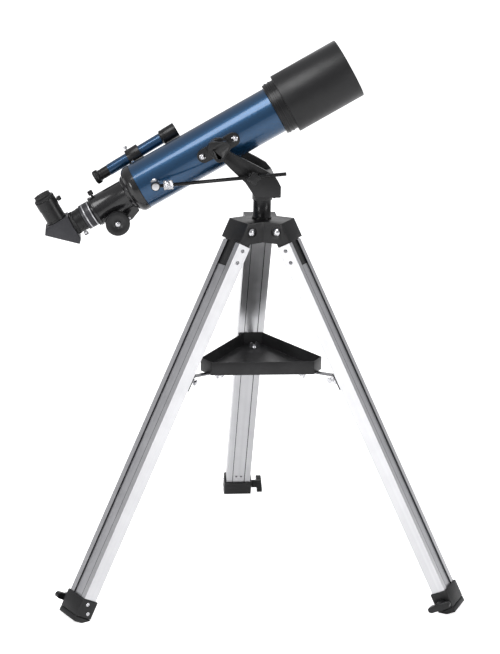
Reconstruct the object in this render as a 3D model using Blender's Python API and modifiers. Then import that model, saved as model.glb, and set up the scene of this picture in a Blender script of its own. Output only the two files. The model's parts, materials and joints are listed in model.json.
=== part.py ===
"""Refracting telescope on an alt-azimuth yoke and a folding aluminium tripod.

Metres, +Z up. The azimuth axis is vertical, the tube points along +X and 30 degrees up, and the
rear leg stands towards +Y. The whole model is moved at the end so that its origin is the middle
of the floor area that it covers.
"""

from math import cos, pi, radians, sin, tan

import bmesh
import bpy
from mathutils import Matrix, Vector

GAP = 0.0003            # between pieces that touch
RUNNING = 0.0003        # radial play of a pin in its hole
TUBE_R = 0.041          # main tube, which the saddles, yoke and rings fit
EYEPIECE_R = 0.0158     # 1.25 inch barrels, which the drawtube and holder fit

# ---- driving dimensions: tripod ----
HINGE_Z = 0.6455        # height of the leg hinges
HINGE_R = 0.040         # their distance from the azimuth axis
HUB_TOP = HINGE_Z + 0.016
HUB_HEIGHT = 0.0365
SPLAY = radians(28)
FOLD = radians(18)      # how far the legs swing in
LEG_WIDTH = 0.048
LEG_DEPTH = 0.025
CHANNEL = 0.0235        # open channel between the leg's two rails
RAIL_WALL = 0.0015
LEG_TOP = 0.0263        # top of the extrusion below the hinge
FOOT_END = 0.013274     # the foot's sole beyond the extrusion's end, along the leg
LEG_BOTTOM = HINGE_Z / cos(SPLAY) - FOOT_END
EAR_OUT = 0.028         # outer face of the hub's ears from the leg's middle
EAR_THICK = 0.0073
BOLT_R = 0.0035
COLLAR_WALL = 0.003
COLLAR_TOP = LEG_BOTTOM - 0.0285
FOOT_HEIGHT = 0.0095
TRAY_FLOOR = HINGE_Z - 0.2485   # underside of the tray
TRAY_INRADIUS = 0.0715
TRAY_CORNER = 0.0170    # half width of a cut corner
TRAY_RIM = 0.0235
SHEET = 0.0013
BAR_THICK = 0.0024
BAR_WIDTH = 0.010
PLATE_LENGTH = 0.031
PLATE_THICK = 0.003
PLATE_ABOVE = 0.007     # of the plate above its pin

# ---- driving dimensions: mount ----
POST_R = 0.0155
POST_NECK = 0.0125      # turned-down top of the post, inside the yoke
POST_SHOULDER = 0.0333  # height of its shoulder above the hub
YOKE_BASE = 0.048       # underside of the yoke above the hub
ALT_X = -0.081          # altitude axis
ALT_Z = HUB_TOP + 0.132
ELEVATION = radians(30)
ARM_IN = TUBE_R + 0.0075     # inner face of a yoke arm from the tube's middle plane
ARM_THICK = 0.0115
PIVOT_DISC = 0.019
AXLE_R = 0.005
ALT_KNOB_R = 0.021
ALT_KNOB_THICK = 0.014
SADDLE_REACH = 0.040
SADDLE_HALF = 0.012
ROD_R = 0.0032
ROD_LENGTH = 0.222
ROD_PIVOT = Vector((-0.107, 0, -0.062))     # from the altitude axis
SWIVEL = Vector((0.0576, 0, -0.0464))
BLOCK_SIDE = 0.0155
BLOCK_DEPTH = 0.0135
STAR_R = 0.0115

# ---- driving dimensions: optical tube, distances along it from the altitude axis ----
TUBE_WALL = 0.0012
TUBE_FRONT = 0.114
TUBE_REAR = -0.152
CELL_R = TUBE_R + 0.006
CELL_FRONT = 0.150
LENS_R = TUBE_R - 0.0045
SHADE_R = CELL_R + 0.006
SHADE_REAR = 0.135
SHADE_FRONT = 0.260
SHADE_WALL = 0.0016
SHOULDER_REAR = -0.171
BODY_REAR = -0.241
DRAW_WALL = 0.002
DRAW_R = EYEPIECE_R + 0.0017 + DRAW_WALL
BODY_R = DRAW_R + 0.006      # focuser's casting
DRAW_FRONT = -0.150
DRAW_COLLAR = -0.2435
DRAW_REAR = -0.262
ADAPTER_R = EYEPIECE_R + 0.0047
ADAPTER_REAR = -0.283
DIAGONAL_AXIS = -0.3045
DIAGONAL_HALF = 0.019
PINION_X = -0.214
PINION_DROP = DRAW_R + 0.0115
PINION_R = 0.006
RACK_HALF = 0.003
FOCUS_KNOB_R = 0.021
HOLDER_R = EYEPIECE_R + 0.0022
HOLDER_BASE = 0.020
HOLDER_LENGTH = 0.041
FINDER_OFF = TUBE_R + 0.0174     # finder's axis from the tube's axis
FINDER_SIDE = radians(38)
FINDER_TILT = radians(1.8)
FINDER_MIDDLE = -0.135
FINDER_R = 0.010

LEGS = (("rear", pi / 2), ("left", pi * 7 / 6), ("right", pi * 11 / 6))

for old in list(bpy.data.objects):
    bpy.data.objects.remove(old, do_unlink=True)

telescope = bpy.data.collections.new("telescope_on_tripod")
helpers = bpy.data.collections.new("cutters")
for made in (telescope, helpers):
    bpy.context.scene.collection.children.link(made)


# ---- materials ----
def finish(name, colour, roughness, metallic=0.0):
    material = bpy.data.materials.new(name)
    material.use_nodes = True
    shader = material.node_tree.nodes["Principled BSDF"]
    shader.inputs["Base Color"].default_value = (*colour, 1.0)
    shader.inputs["Roughness"].default_value = roughness
    shader.inputs["Metallic"].default_value = metallic
    return material


BLUE = ("blue_lacquer", (0.012, 0.075, 0.19), 0.25, 0.5)
BLACK = ("black_plastic", (0.014, 0.014, 0.015), 0.45)
MATTE = ("matte_black", (0.018, 0.018, 0.019), 0.7)
CAST = ("black_casting", (0.02, 0.02, 0.022), 0.5, 0.3)
GREY = ("dark_grey_plastic", (0.05, 0.05, 0.056), 0.5)
ALUMINIUM = ("aluminium", (0.72, 0.72, 0.74), 0.35, 1.0)
CHROME = ("chrome", (0.8, 0.8, 0.8), 0.12, 1.0)
GLASS = ("glass", (0.8, 0.9, 0.92), 0.05)
RUBBER = ("rubber", (0.015, 0.015, 0.015), 0.8)


# ---- frames: an empty on each axis ----
def frame_at(name, place, turn=(0, 0, 0), parent=None):
    empty = bpy.data.objects.new(name, None)
    telescope.objects.link(empty)
    empty.location = place
    empty.rotation_euler = turn
    empty.parent = parent
    return empty


root = frame_at("root_frame", (0, 0, 0))
hub_frame = frame_at("azimuth_frame", (0, 0, HUB_TOP), parent=root)
pivot = frame_at("altitude_frame", (ALT_X, 0, ALT_Z), parent=root)
tube = frame_at("tube_frame", (0, 0, 0), (0, -ELEVATION, 0), pivot)
leg_frames = {}
for side, angle in LEGS:
    hinge = (HINGE_R * cos(angle), HINGE_R * sin(angle), HINGE_Z)
    leg_frames[side] = frame_at(f"leg_frame_{side}", hinge, (0, -SPLAY, angle), root)

# turns that bring a turned piece's Z axis onto X or Y
ALONG_X = (0, pi / 2, 0)
ALONG_Y = (-pi / 2, 0, 0)
UPRIGHT = (0, 0, 0)
# turns that bring an outline drawn in XY into the XZ plane
SIDEWAYS = (pi / 2, 0, 0)


# ---- modelling steps ----
def place(mesh, name, look, parent, at=(0, 0, 0), turn=UPRIGHT):
    """A mesh as a named piece, or as a cutter where it has no finish."""
    piece = bpy.data.objects.new(name, mesh)
    if look:
        mesh.materials.append(finish(f"{name}_{look[0]}", *look[1:]))
        telescope.objects.link(piece)
    else:
        helpers.objects.link(piece)
        piece.hide_render = True
        piece.display_type = "WIRE"
    piece.parent = parent
    piece.location = at
    piece.rotation_euler = turn
    return piece


def arc(centre, radius, start, end, steps):
    """Points of an arc, angles in degrees."""
    turns = [radians(start + (end - start) * i / steps) for i in range(steps + 1)]
    return [(centre[0] + radius * cos(a), centre[1] + radius * sin(a)) for a in turns]


def ring_points(radius, steps, centre=(0, 0)):
    return arc(centre, radius, 0, 360, steps)[:-1]


def outline_mesh(name, outline, thickness, holes=()):
    """A flat outline with holes, extruded to both sides of its plane."""
    curve = bpy.data.curves.new(name, "CURVE")
    curve.dimensions = "2D"
    curve.fill_mode = "BOTH"
    curve.extrude = thickness / 2
    for loop in (outline, *holes):
        spline = curve.splines.new("POLY")
        spline.points.add(len(loop) - 1)
        for point, (x, y) in zip(spline.points, loop):
            point.co = (x, y, 0, 1)
        spline.use_cyclic_u = True
    carrier = bpy.data.objects.new(name, curve)
    helpers.objects.link(carrier)
    bpy.context.view_layer.update()
    mesh = bpy.data.meshes.new_from_object(carrier.evaluated_get(bpy.context.evaluated_depsgraph_get()))
    bpy.data.objects.remove(carrier, do_unlink=True)
    work = bmesh.new()
    work.from_mesh(mesh)
    bmesh.ops.remove_doubles(work, verts=work.verts, dist=1e-6)
    bmesh.ops.recalc_face_normals(work, faces=work.faces)
    work.to_mesh(mesh)
    work.free()
    mesh.name = name
    return mesh


def box_mesh(name, low, high):
    work = bmesh.new()
    bmesh.ops.create_cube(work, size=1.0)
    size = [h - l for l, h in zip(low, high)]
    middle = [(h + l) / 2 for l, h in zip(low, high)]
    bmesh.ops.transform(work, matrix=Matrix.Diagonal((*size, 1)), verts=work.verts)
    bmesh.ops.translate(work, vec=middle, verts=work.verts)
    mesh = bpy.data.meshes.new(name)
    work.to_mesh(mesh)
    work.free()
    return mesh


def plate(name, outline, thickness, look, parent, at=(0, 0, 0), turn=UPRIGHT, holes=()):
    return place(outline_mesh(name, outline, thickness, holes), name, look, parent, at, turn)


def box(name, low, high, look, parent, at=(0, 0, 0), turn=UPRIGHT, edge=0.0):
    piece = place(box_mesh(name, low, high), name, look, parent, at, turn)
    if edge:
        soften(piece, edge)
    return piece


def soften(piece, width, segments=1):
    bevel = piece.modifiers.new("edges", "BEVEL")
    bevel.width = width
    bevel.segments = segments
    bevel.limit_method = "ANGLE"
    bevel.angle_limit = radians(40)


def turned(name, profile, look, parent, at=(0, 0, 0), turn=UPRIGHT, steps=32, bored=False):
    """A profile of (radius, height) points, top to bottom outside, turned round Z.

    A bored piece's profile closes on itself; a solid one starts and ends on the axis.
    """
    work = bmesh.new()
    points = [work.verts.new((r, 0, z)) for r, z in profile]
    for a, b in zip(points, points[1:]):
        work.edges.new((a, b))
    if bored:
        work.edges.new((points[-1], points[0]))
    mesh = bpy.data.meshes.new(name)
    work.to_mesh(mesh)
    work.free()
    piece = place(mesh, name, look, parent, at, turn)
    screw = piece.modifiers.new("turn", "SCREW")
    screw.steps = steps
    screw.render_steps = steps
    screw.use_merge_vertices = True
    screw.merge_threshold = 0.00001
    screw.use_smooth_shade = True
    return piece


def combine(piece, other, how):
    step = piece.modifiers.new(how.lower(), "BOOLEAN")
    step.operation = how
    step.solver = "EXACT"
    step.object = other
    return piece


def cut(piece, *cutters):
    for cutter in cutters:
        combine(piece, cutter, "DIFFERENCE")
    return piece


def join(piece, *others):
    for other in others:
        combine(piece, other, "UNION")
    return piece


def rod_profile(radius, top, bottom):
    return [(0, top), (radius, top), (radius, bottom), (0, bottom)]


def tube_profile(outer, inner, top, bottom):
    return [(inner, top), (outer, top), (outer, bottom), (inner, bottom)]


def shaft(name, radius, low, high, look, parent, at=(0, 0, 0), turn=UPRIGHT, steps=16):
    return turned(name, rod_profile(radius, high, low), look, parent, at, turn, steps)


def lobed(radius, depth, lobes, steps):
    """Outline of a hand knob: a circle with evenly spaced lobes."""
    turns = [2 * pi * i / steps for i in range(steps)]
    reach = [radius - depth / 2 + depth / 2 * cos(lobes * a) for a in turns]
    return [(r * cos(a), r * sin(a)) for r, a in zip(reach, turns)]


# ================= tripod =================
# ---- hub: a three-armed casting that forks round each leg's hinge block ----
arm_reach = HINGE_R + 0.026
outline = []
for side, angle in LEGS:
    for r, t in ((arm_reach, -EAR_OUT), (arm_reach, EAR_OUT)):
        outline.append((r * cos(angle) - t * sin(angle), r * sin(angle) + t * cos(angle)))
    valley = EAR_OUT / sin(pi / 3)
    outline.append((valley * cos(angle + pi / 3), valley * sin(angle + pi / 3)))
hub = plate("hub", outline, HUB_HEIGHT, CAST, root, (0, 0, HUB_TOP - HUB_HEIGHT / 2))
block_half = EAR_OUT - EAR_THICK
head_r = HUB_TOP - HINGE_Z - 0.004
for side, angle in LEGS:
    leg = leg_frames[side]
    room = head_r + 0.0006
    far = 0.05
    swing = FOLD + radians(1)
    inner = (-room * cos(swing) - far * sin(swing), room * sin(swing) - far * cos(swing))
    arch = arc((0, 0), room, 0, 161, 8)
    opening = arch + [inner, (room, -far)]
    slot = plate(f"cut_slot_{side}", opening, 2 * block_half, None, leg, turn=SIDEWAYS)
    over = EAR_OUT + 0.01
    end = box(f"cut_end_{side}", (LEG_DEPTH / 2 + 0.003, -over, -0.06), (0.06, over, 0.06), None, leg)
    skirt = box(f"cut_skirt_{side}", (-0.03, -over, -0.06), (0.07, over, -LEG_TOP + 0.0018), None, leg)
    bore = shaft(f"cut_bolt_{side}", BOLT_R + RUNNING, -over, over, None, leg, turn=ALONG_Y, steps=14)
    rings = [
        shaft(f"cut_ring_{side}_{n}", 0.0095, *span, None, leg, turn=ALONG_Y, steps=16)
        for n, span in enumerate(((EAR_OUT - 0.0025, over), (-over, -EAR_OUT + 0.0025)))
    ]
    cut(hub, bore, *rings, end, skirt, slot)
spigot_r = 0.008
spigot_depth = 0.030
cut(hub, shaft("cut_spigot", spigot_r + RUNNING, -spigot_depth, 0.01, None, hub_frame, steps=24))

# ---- legs: hinge block and bolt, channelled extrusion, slide, collar with its knob, foot ----
half = LEG_WIDTH / 2
deep = LEG_DEPTH / 2
mouth = CHANNEL / 2
web = 0.0024
groove = 0.0008
slide_half = mouth - GAP
slide_in = -deep + web + GAP
slide_out = deep - 0.002
tongue_end = 0.070
collar_bottom = LEG_BOTTOM + 0.0035
toe_gap = collar_bottom + GAP
foot_bottom = toe_gap + FOOT_HEIGHT
knob_z = -(COLLAR_TOP + collar_bottom) / 2 - 0.004
wing_half = 0.021


def rail_section(sign):
    """Corner points of the hollow inside one rail."""
    inner = mouth + RAIL_WALL
    outer = half - RAIL_WALL
    near = -deep + web
    return [(near, sign * inner), (deep - RAIL_WALL, sign * inner),
            (deep - RAIL_WALL, sign * outer), (near, sign * outer)]


channel = [(-deep, -half), (deep, -half), (deep, -mouth), (-deep + web, -mouth),
           (-deep + web, mouth), (deep, mouth), (deep, half), (-deep, half)]
for sign in (1, -1):
    line = mouth - 0.0006
    ends = (line + 0.0005, line - 0.0005) if sign > 0 else (-line + 0.0005, -line - 0.0005)
    channel += [(-deep, ends[0]), (-deep + groove, ends[0]), (-deep + groove, ends[1]), (-deep, ends[1])]

for side, angle in LEGS:
    leg = leg_frames[side]
    leg_length = LEG_BOTTOM - LEG_TOP
    # the block turns in the hub's fork, and its tongue closes the top of the channel
    shank = -LEG_TOP + GAP
    head = arc((0, 0), head_r, 0, 180, 8) + [(-head_r, shank), (head_r, shank)]
    block = plate(f"hinge_block_{side}", head, 2 * (block_half - GAP), BLACK, leg, turn=SIDEWAYS)
    tongue = box(f"cut_tongue_{side}", (slide_in, -slide_half, -tongue_end),
                 (slide_out, slide_half, shank + 0.004), None, leg)
    eye = shaft(f"cut_eye_{side}", BOLT_R + RUNNING, -0.04, 0.04, None, leg, turn=ALONG_Y)
    cut(join(block, tongue), eye)
    grip = EAR_OUT + 0.0012
    nut = 0.0065
    turned(f"hinge_bolt_{side}",
           [(0, grip + 0.0015), (nut * 0.6, grip + 0.0008), (nut, grip - 0.0016), (nut, EAR_OUT - 0.0022),
            (BOLT_R, EAR_OUT - 0.0022), (BOLT_R, -EAR_OUT + 0.0022), (nut, -EAR_OUT + 0.0022),
            (nut, -grip + 0.0016), (nut * 0.6, -grip - 0.0008), (0, -grip - 0.0015)],
           CHROME, leg, turn=ALONG_Y, steps=12)
    plate(f"upper_leg_{side}", channel, leg_length, ALUMINIUM, leg,
          (0, 0, -(LEG_BOTTOM + LEG_TOP) / 2), holes=(rail_section(1), rail_section(-1)))
    slide_wall = 0.0016
    outer = [(slide_in, -slide_half), (slide_out, -slide_half), (slide_out, slide_half), (slide_in, slide_half)]
    hollow = [(slide_in + slide_wall, -slide_half + slide_wall), (slide_out - slide_wall, -slide_half + slide_wall),
              (slide_out - slide_wall, slide_half - slide_wall), (slide_in + slide_wall, slide_half - slide_wall)]
    slide_top = tongue_end + GAP
    slide_end = toe_gap - GAP
    plate(f"lower_leg_{side}", outer, slide_end - slide_top, ALUMINIUM, leg,
          (0, 0, -(slide_end + slide_top) / 2), holes=(hollow,))
    # the collar wraps the extrusion's end, and a threaded knob presses through it on the slide
    wide = half + GAP + COLLAR_WALL
    thick = deep + GAP + COLLAR_WALL
    collar = box(f"leg_collar_{side}", (-thick, -wide, -collar_bottom), (thick, wide, -COLLAR_TOP), BLACK, leg)
    soften(collar, 0.0012)
    sleeve = box(f"cut_sleeve_{side}", (-deep - GAP, -half - GAP, -LEG_BOTTOM - GAP),
                 (deep + GAP, half + GAP, -COLLAR_TOP + 0.01), None, leg)
    way = box(f"cut_way_{side}", (slide_in - GAP, -slide_half - GAP, -collar_bottom - 0.01),
              (slide_out + GAP, slide_half + GAP, -COLLAR_TOP + 0.01), None, leg)
    stem_r = 0.004
    thread = shaft(f"cut_thread_{side}", stem_r + RUNNING, -wide - 0.01, -half + 0.001, None, leg,
                   (0, 0, knob_z), ALONG_Y)
    cut(collar, sleeve, way, thread)
    stem_in = -half - 2 * GAP
    bar_low = -wide - 0.022
    bar_high = bar_low + 0.010
    knob = shaft(f"clamp_knob_{side}", stem_r, bar_low + 0.002, stem_in, BLACK, leg, (0, 0, knob_z), ALONG_Y)
    boss = shaft(f"cut_boss_{side}", 0.008, bar_low + 0.003, -wide - 0.002, None, leg,
                 (0, 0, knob_z), ALONG_Y)
    wing = plate(f"cut_wing_{side}",
                 arc((wing_half - 0.0055, 0), 0.0055, -90, 90, 4)
                 + arc((-wing_half + 0.0055, 0), 0.0055, 90, 270, 4),
                 bar_high - bar_low, None, leg, (0, (bar_low + bar_high) / 2, knob_z), SIDEWAYS)
    join(knob, boss, wing)
    # the foot sits on the slide's end, with a level pad ground on its inner edge
    foot = box(f"foot_{side}", (-thick, -wide, -foot_bottom), (thick, wide, -toe_gap), BLACK, leg)
    soften(foot, 0.0012)
    cut(foot, box(f"cut_floor_{side}", (-0.2, -0.2, -0.05), (0.2, 0.2, 0.0), None, root,
                  (0.33 * cos(angle), 0.33 * sin(angle), 0)))

# ---- spreader tray: folded sheet on three bars, pinned to a plate on each leg ----
tray_corner_r = 2 * TRAY_INRADIUS - TRAY_CORNER * 3 ** 0.5
tray_outline = []
for side, angle in LEGS:
    for t in (-TRAY_CORNER, TRAY_CORNER):
        tray_outline.append((tray_corner_r * cos(angle) - t * sin(angle),
                             tray_corner_r * sin(angle) + t * cos(angle)))
tray_at = (0, 0, TRAY_FLOOR + TRAY_RIM / 2)
tray = plate("tray", tray_outline, TRAY_RIM, CAST, root, tray_at)
corner_inset = tray_corner_r - SHEET
inner_corner = 2 * (TRAY_INRADIUS - SHEET) - corner_inset
well = []
for side, angle in LEGS:
    for t in (-inner_corner / 3 ** 0.5, inner_corner / 3 ** 0.5):
        well.append((corner_inset * cos(angle) - t * sin(angle), corner_inset * sin(angle) + t * cos(angle)))
cut(tray, plate("cut_well", well, TRAY_RIM, None, root, (0, 0, tray_at[2] + SHEET)))

bar_top = TRAY_FLOOR - GAP
pin_z = bar_top - BAR_THICK / 2
face_r = HINGE_R - deep / cos(SPLAY) + (HINGE_Z - pin_z) * tan(SPLAY)
stand_off = 0.0052          # pin to plate, square to the leg
pin_r = face_r - (PLATE_THICK + GAP + stand_off) / cos(SPLAY)
pin_along = (HINGE_Z - pin_z) * cos(SPLAY) + (pin_r - HINGE_R) * sin(SPLAY)
eye_r = 0.0040
lug = 0.0018
pin_radius = 0.0018
for side, angle in LEGS:
    leg = leg_frames[side]
    spoke = frame_at(f"spoke_frame_{side}", (0, 0, pin_z), (pi / 2, 0, angle), root)
    thin = BAR_THICK / 2
    start = 0.052
    neck = (eye_r ** 2 - thin ** 2) ** 0.5
    around = arc((pin_r, 0), eye_r, -162.5, 162.5, 12)
    plate(f"tray_bar_{side}", [(start, thin), (start, -thin)] + around, BAR_WIDTH, ALUMINIUM, spoke,
          holes=(ring_points(pin_radius + RUNNING, 12, (pin_r, 0)),))
    plate_in = -deep - GAP - PLATE_THICK
    strip = box(f"bracket_plate_{side}", (plate_in, -0.0078, -pin_along - PLATE_LENGTH + PLATE_ABOVE),
                (plate_in + PLATE_THICK, 0.0078, -pin_along + PLATE_ABOVE), CAST, leg)
    lug_in = BAR_WIDTH / 2 + GAP
    ear = [(plate_in + 0.001, -0.0045), (plate_in + 0.001, 0.0045)]
    ear += arc((plate_in - stand_off, 0), 0.0036, 90, 270, 6)
    ears = [plate(f"cut_lug_{side}_{n}", ear, lug, None, leg,
                  (0, sign * (lug_in + lug / 2), -pin_along), SIDEWAYS) for n, sign in enumerate((1, -1))]
    reach = lug_in + lug / 2
    pin = shaft(f"cut_pin_{side}", pin_radius, -reach, reach, None, leg,
                (plate_in - stand_off, 0, -pin_along), ALONG_Y, steps=12)
    join(strip, *ears, pin)

# ================= mount =================
post_top = YOKE_BASE + 0.012
turned("azimuth_post",
       [(0, post_top), (POST_NECK, post_top), (POST_NECK, POST_SHOULDER - GAP), (POST_R, POST_SHOULDER - GAP),
        (POST_R, 0.0035), (POST_R + 0.0015, 0.003), (POST_R + 0.0015, GAP), (spigot_r, GAP),
        (spigot_r, -spigot_depth + GAP), (0, -spigot_depth + GAP)], BLACK, hub_frame, steps=24)

# ---- yoke: two swept arms on a bridge, in one casting; outlines are drawn from the altitude axis ----
base_z = HUB_TOP + YOKE_BASE - ALT_Z
base_x = -ALT_X
heel = (base_x + 0.0257, base_z)
toe = (base_x - 0.018, base_z)
back = [(base_x + 0.0257, base_z + 0.019), (base_x + 0.0205, base_z + 0.029),
        (base_x + 0.011, base_z + 0.040), (base_x - 0.0046, base_z + 0.049)]
belly = [(0.0193, -0.0336), (0.046, -0.0586)]
arm_outline = arc((0, 0), PIVOT_DISC, -15, 285, 14) + belly + [toe, heel] + back
arm_mid = ARM_IN + ARM_THICK / 2
yoke = plate("yoke", arm_outline, ARM_THICK, CAST, pivot, (0, -arm_mid, 0), SIDEWAYS)
soften(yoke, 0.0015)
far_arm = plate("cut_far_arm", arm_outline, ARM_THICK, None, pivot, (0, arm_mid, 0), SIDEWAYS)
soften(far_arm, 0.0015)
bridge_top = base_z + 0.030
bridge_outline = [toe, heel, back[0], (back[1][0] - 0.001, bridge_top), (belly[1][0] + 0.006, bridge_top)]
bridge = plate("cut_bridge", bridge_outline, 2 * ARM_IN + 0.004, None, pivot, turn=SIDEWAYS)
sole_r = 0.0175
sole = shaft("cut_sole", sole_r, POST_SHOULDER, YOKE_BASE + 0.003, None, hub_frame, steps=24)
socket = shaft("cut_socket", POST_NECK + RUNNING, 0, post_top + 0.0005, None, hub_frame, steps=24)
axle_way = shaft("cut_axle_way", AXLE_R + RUNNING, -0.08, 0.08, None, pivot, turn=ALONG_Y)
swivel_pin_r = 0.004
swivel_pin_in = -ARM_IN - 0.003
swivel_way = shaft("cut_swivel_way", swivel_pin_r + RUNNING, -0.08, swivel_pin_in + GAP, None, pivot,
                   SWIVEL, ALONG_Y)
lock_z = (POST_SHOULDER + YOKE_BASE) / 2 - 0.001
lock_r = 0.0025
lock_way = shaft("cut_lock_way", lock_r + RUNNING, POST_NECK - 0.002, 0.03, None, hub_frame,
                 (0, 0, lock_z), ALONG_X, steps=12)
cut(join(yoke, far_arm, bridge, sole), socket, axle_way, swivel_way, lock_way)
lock_in = POST_NECK + 2 * RUNNING
turned("azimuth_lock_screw",
       [(0, sole_r + 0.0055), (0.0042, sole_r + 0.0055), (0.005, sole_r + 0.0045), (0.005, sole_r + 0.0010),
        (lock_r, sole_r + 0.0010), (lock_r, lock_in), (0, lock_in)],
       BLACK, hub_frame, (0, 0, lock_z), ALONG_X, steps=16)

# ---- saddles: a plate on each flank of the tube, with the altitude axle standing on it ----
saddle_out = ARM_IN - GAP
axle_out = ARM_IN + ARM_THICK + 0.009
flank = TUBE_R + GAP
saddle_outline = (arc((SADDLE_REACH - SADDLE_HALF, 0), SADDLE_HALF, -90, 90, 8)
                  + arc((-SADDLE_REACH + SADDLE_HALF, 0), SADDLE_HALF, 90, 270, 8))
for side, sign in (("near", -1), ("far", 1)):
    middle = sign * (saddle_out + TUBE_R - 0.004) / 2
    saddle = plate(f"saddle_{side}", saddle_outline, saddle_out - TUBE_R + 0.004, CAST, tube,
                   (0, middle, 0), SIDEWAYS)
    stub = sorted((sign * (saddle_out - 0.002), sign * axle_out))
    join(saddle, shaft(f"cut_axle_{side}", AXLE_R, *stub, None, tube, turn=ALONG_Y))
    cut(saddle, shaft(f"cut_flank_{side}", flank, -0.06, 0.06, None, tube, turn=ALONG_X, steps=36))
    knob_in = ARM_IN + ARM_THICK + GAP
    knob_mid = sign * (knob_in + ALT_KNOB_THICK / 2)
    knob = plate(f"altitude_knob_{side}", lobed(ALT_KNOB_R, 0.007, 3, 30), ALT_KNOB_THICK, BLACK, tube,
                 (0, knob_mid, 0), SIDEWAYS)
    soften(knob, 0.0018)
    bore = sorted((sign * (knob_in - 0.002), sign * (axle_out + GAP)))
    cut(knob, shaft(f"cut_knob_bore_{side}", AXLE_R + GAP, *bore, None, tube, turn=ALONG_Y))

# ---- slow-motion rod: pinned to the tube, it slides through a block that swivels on the near arm ----
pin_along_tube = ROD_PIVOT.x * cos(ELEVATION) + ROD_PIVOT.z * sin(ELEVATION)
rod_y = -(ARM_IN + ARM_THICK + GAP + BLOCK_DEPTH / 2)
eye_half = 0.004
post_r = 0.0042
rod_post = turned("rod_clevis",
                  [(0, TUBE_R - 0.004), (0.008, TUBE_R - 0.004), (0.008, TUBE_R + 0.004), (0.0055, TUBE_R + 0.006),
                   (0.0055, -rod_y - eye_half - GAP), (post_r, -rod_y - eye_half - GAP),
                   (post_r, -rod_y + eye_half + GAP), (0.0062, -rod_y + eye_half + GAP),
                   (0.0062, -rod_y + eye_half + 0.003), (0, -rod_y + eye_half + 0.0036)][::-1],
                  CHROME, tube, (pin_along_tube, 0, 0), (pi / 2, 0, 0), steps=16)
cut(rod_post, shaft("cut_rod_post", flank, -0.2, 0.0, None, tube, turn=ALONG_X, steps=36))
rod_run = SWIVEL - ROD_PIVOT
rod_tilt = -rod_run.angle(Vector((1, 0, 0)))
rod_frame = frame_at("rod_frame", ROD_PIVOT + Vector((0, rod_y, 0)), (0, rod_tilt, 0), pivot)
block_frame = frame_at("swivel_frame", SWIVEL + Vector((0, rod_y, 0)), (0, rod_tilt, 0), pivot)
eye_out = 0.0078
rod = shaft("slow_motion_rod", ROD_R, eye_out - 0.0025, ROD_LENGTH, BLACK, rod_frame, turn=ALONG_X)
join(rod, shaft("cut_rod_eye", eye_out, -eye_half, eye_half, None, rod_frame, turn=ALONG_Y, steps=20))
cut(rod, shaft("cut_rod_hole", post_r + RUNNING, -0.01, 0.01, None, rod_frame, turn=ALONG_Y))
nut_start = 0.013
turned("fine_adjust_nut", tube_profile(0.0078, ROD_R + GAP, nut_start + 0.017, nut_start), CHROME, rod_frame,
       turn=ALONG_X, steps=16, bored=True)
block_half_side = BLOCK_SIDE / 2
slot_up = 0.0058
block = box("swivel_block", (-block_half_side, -BLOCK_DEPTH / 2, -block_half_side),
            (block_half_side, BLOCK_DEPTH / 2, block_half_side), BLACK, block_frame, edge=0.001)
join(block, shaft("cut_swivel_pin", swivel_pin_r, BLOCK_DEPTH / 2 - 0.001, swivel_pin_in - rod_y, None,
                  block_frame, turn=ALONG_Y))
star_in = -BLOCK_DEPTH / 2 - GAP
star_stem_r = 0.003
cut(block, box("cut_rod_way", (-0.02, -ROD_R - 0.0006, -slot_up), (0.02, ROD_R + 0.0006, slot_up), None,
               block_frame),
    shaft("cut_star_way", star_stem_r + RUNNING, -0.02, -ROD_R, None, block_frame, turn=ALONG_Y, steps=12))
star = plate("star_knob", lobed(STAR_R, 0.0045, 4, 32), 0.009, BLACK, block_frame,
             (0, star_in - 0.0045, 0), SIDEWAYS)
join(star, shaft("cut_star_stem", star_stem_r, -0.003, 0.0075, None, star, turn=(-pi, 0, 0), steps=12))

# ================= optical tube =================
def round_part(name, profile, look, steps=40, bored=True, x=0.0, parent=None):
    """A piece turned round the tube's axis, or round an axis parallel to it."""
    return turned(name, profile, look, parent or tube, (x, 0, 0), ALONG_X, steps, bored)


inside = TUBE_R - TUBE_WALL
spigot = inside - GAP
round_part("main_tube", tube_profile(TUBE_R, inside, TUBE_FRONT, TUBE_REAR), BLUE, 36)
seat = 0.136
round_part("objective_cell",
           [(LENS_R + GAP, CELL_FRONT), (CELL_R, CELL_FRONT), (CELL_R, TUBE_FRONT + GAP),
            (spigot, TUBE_FRONT + GAP), (spigot, TUBE_FRONT - 0.012), (LENS_R - 0.002, TUBE_FRONT - 0.012),
            (LENS_R - 0.002, seat), (LENS_R + GAP, seat)], MATTE, 28)
round_part("objective_lens",
           [(0, seat + 0.0125), (LENS_R * 0.55, seat + 0.0117), (LENS_R, seat + 0.0095), (LENS_R, seat + GAP),
            (0, seat + GAP)], GLASS, 20, bored=False)
hood = SHADE_R - SHADE_WALL
round_part("dew_shield",
           [(hood, SHADE_FRONT), (SHADE_R, SHADE_FRONT), (SHADE_R, SHADE_REAR), (CELL_R + GAP, SHADE_REAR),
            (CELL_R + GAP, SHADE_REAR + 0.004), (hood, SHADE_REAR + 0.004)], MATTE, 36)
throat = BODY_R + 0.0007
round_part("rear_cell",
           [(throat, TUBE_REAR + 0.012), (spigot, TUBE_REAR + 0.012), (spigot, TUBE_REAR - GAP),
            (TUBE_R + 0.0005, TUBE_REAR - GAP), (TUBE_R + 0.0005, TUBE_REAR - 0.008),
            (TUBE_R - 0.002, SHOULDER_REAR + 0.0045), (TUBE_R - 0.006, SHOULDER_REAR + 0.001),
            (TUBE_R - 0.009, SHOULDER_REAR), (throat, SHOULDER_REAR)], BLACK, 28)

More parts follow.
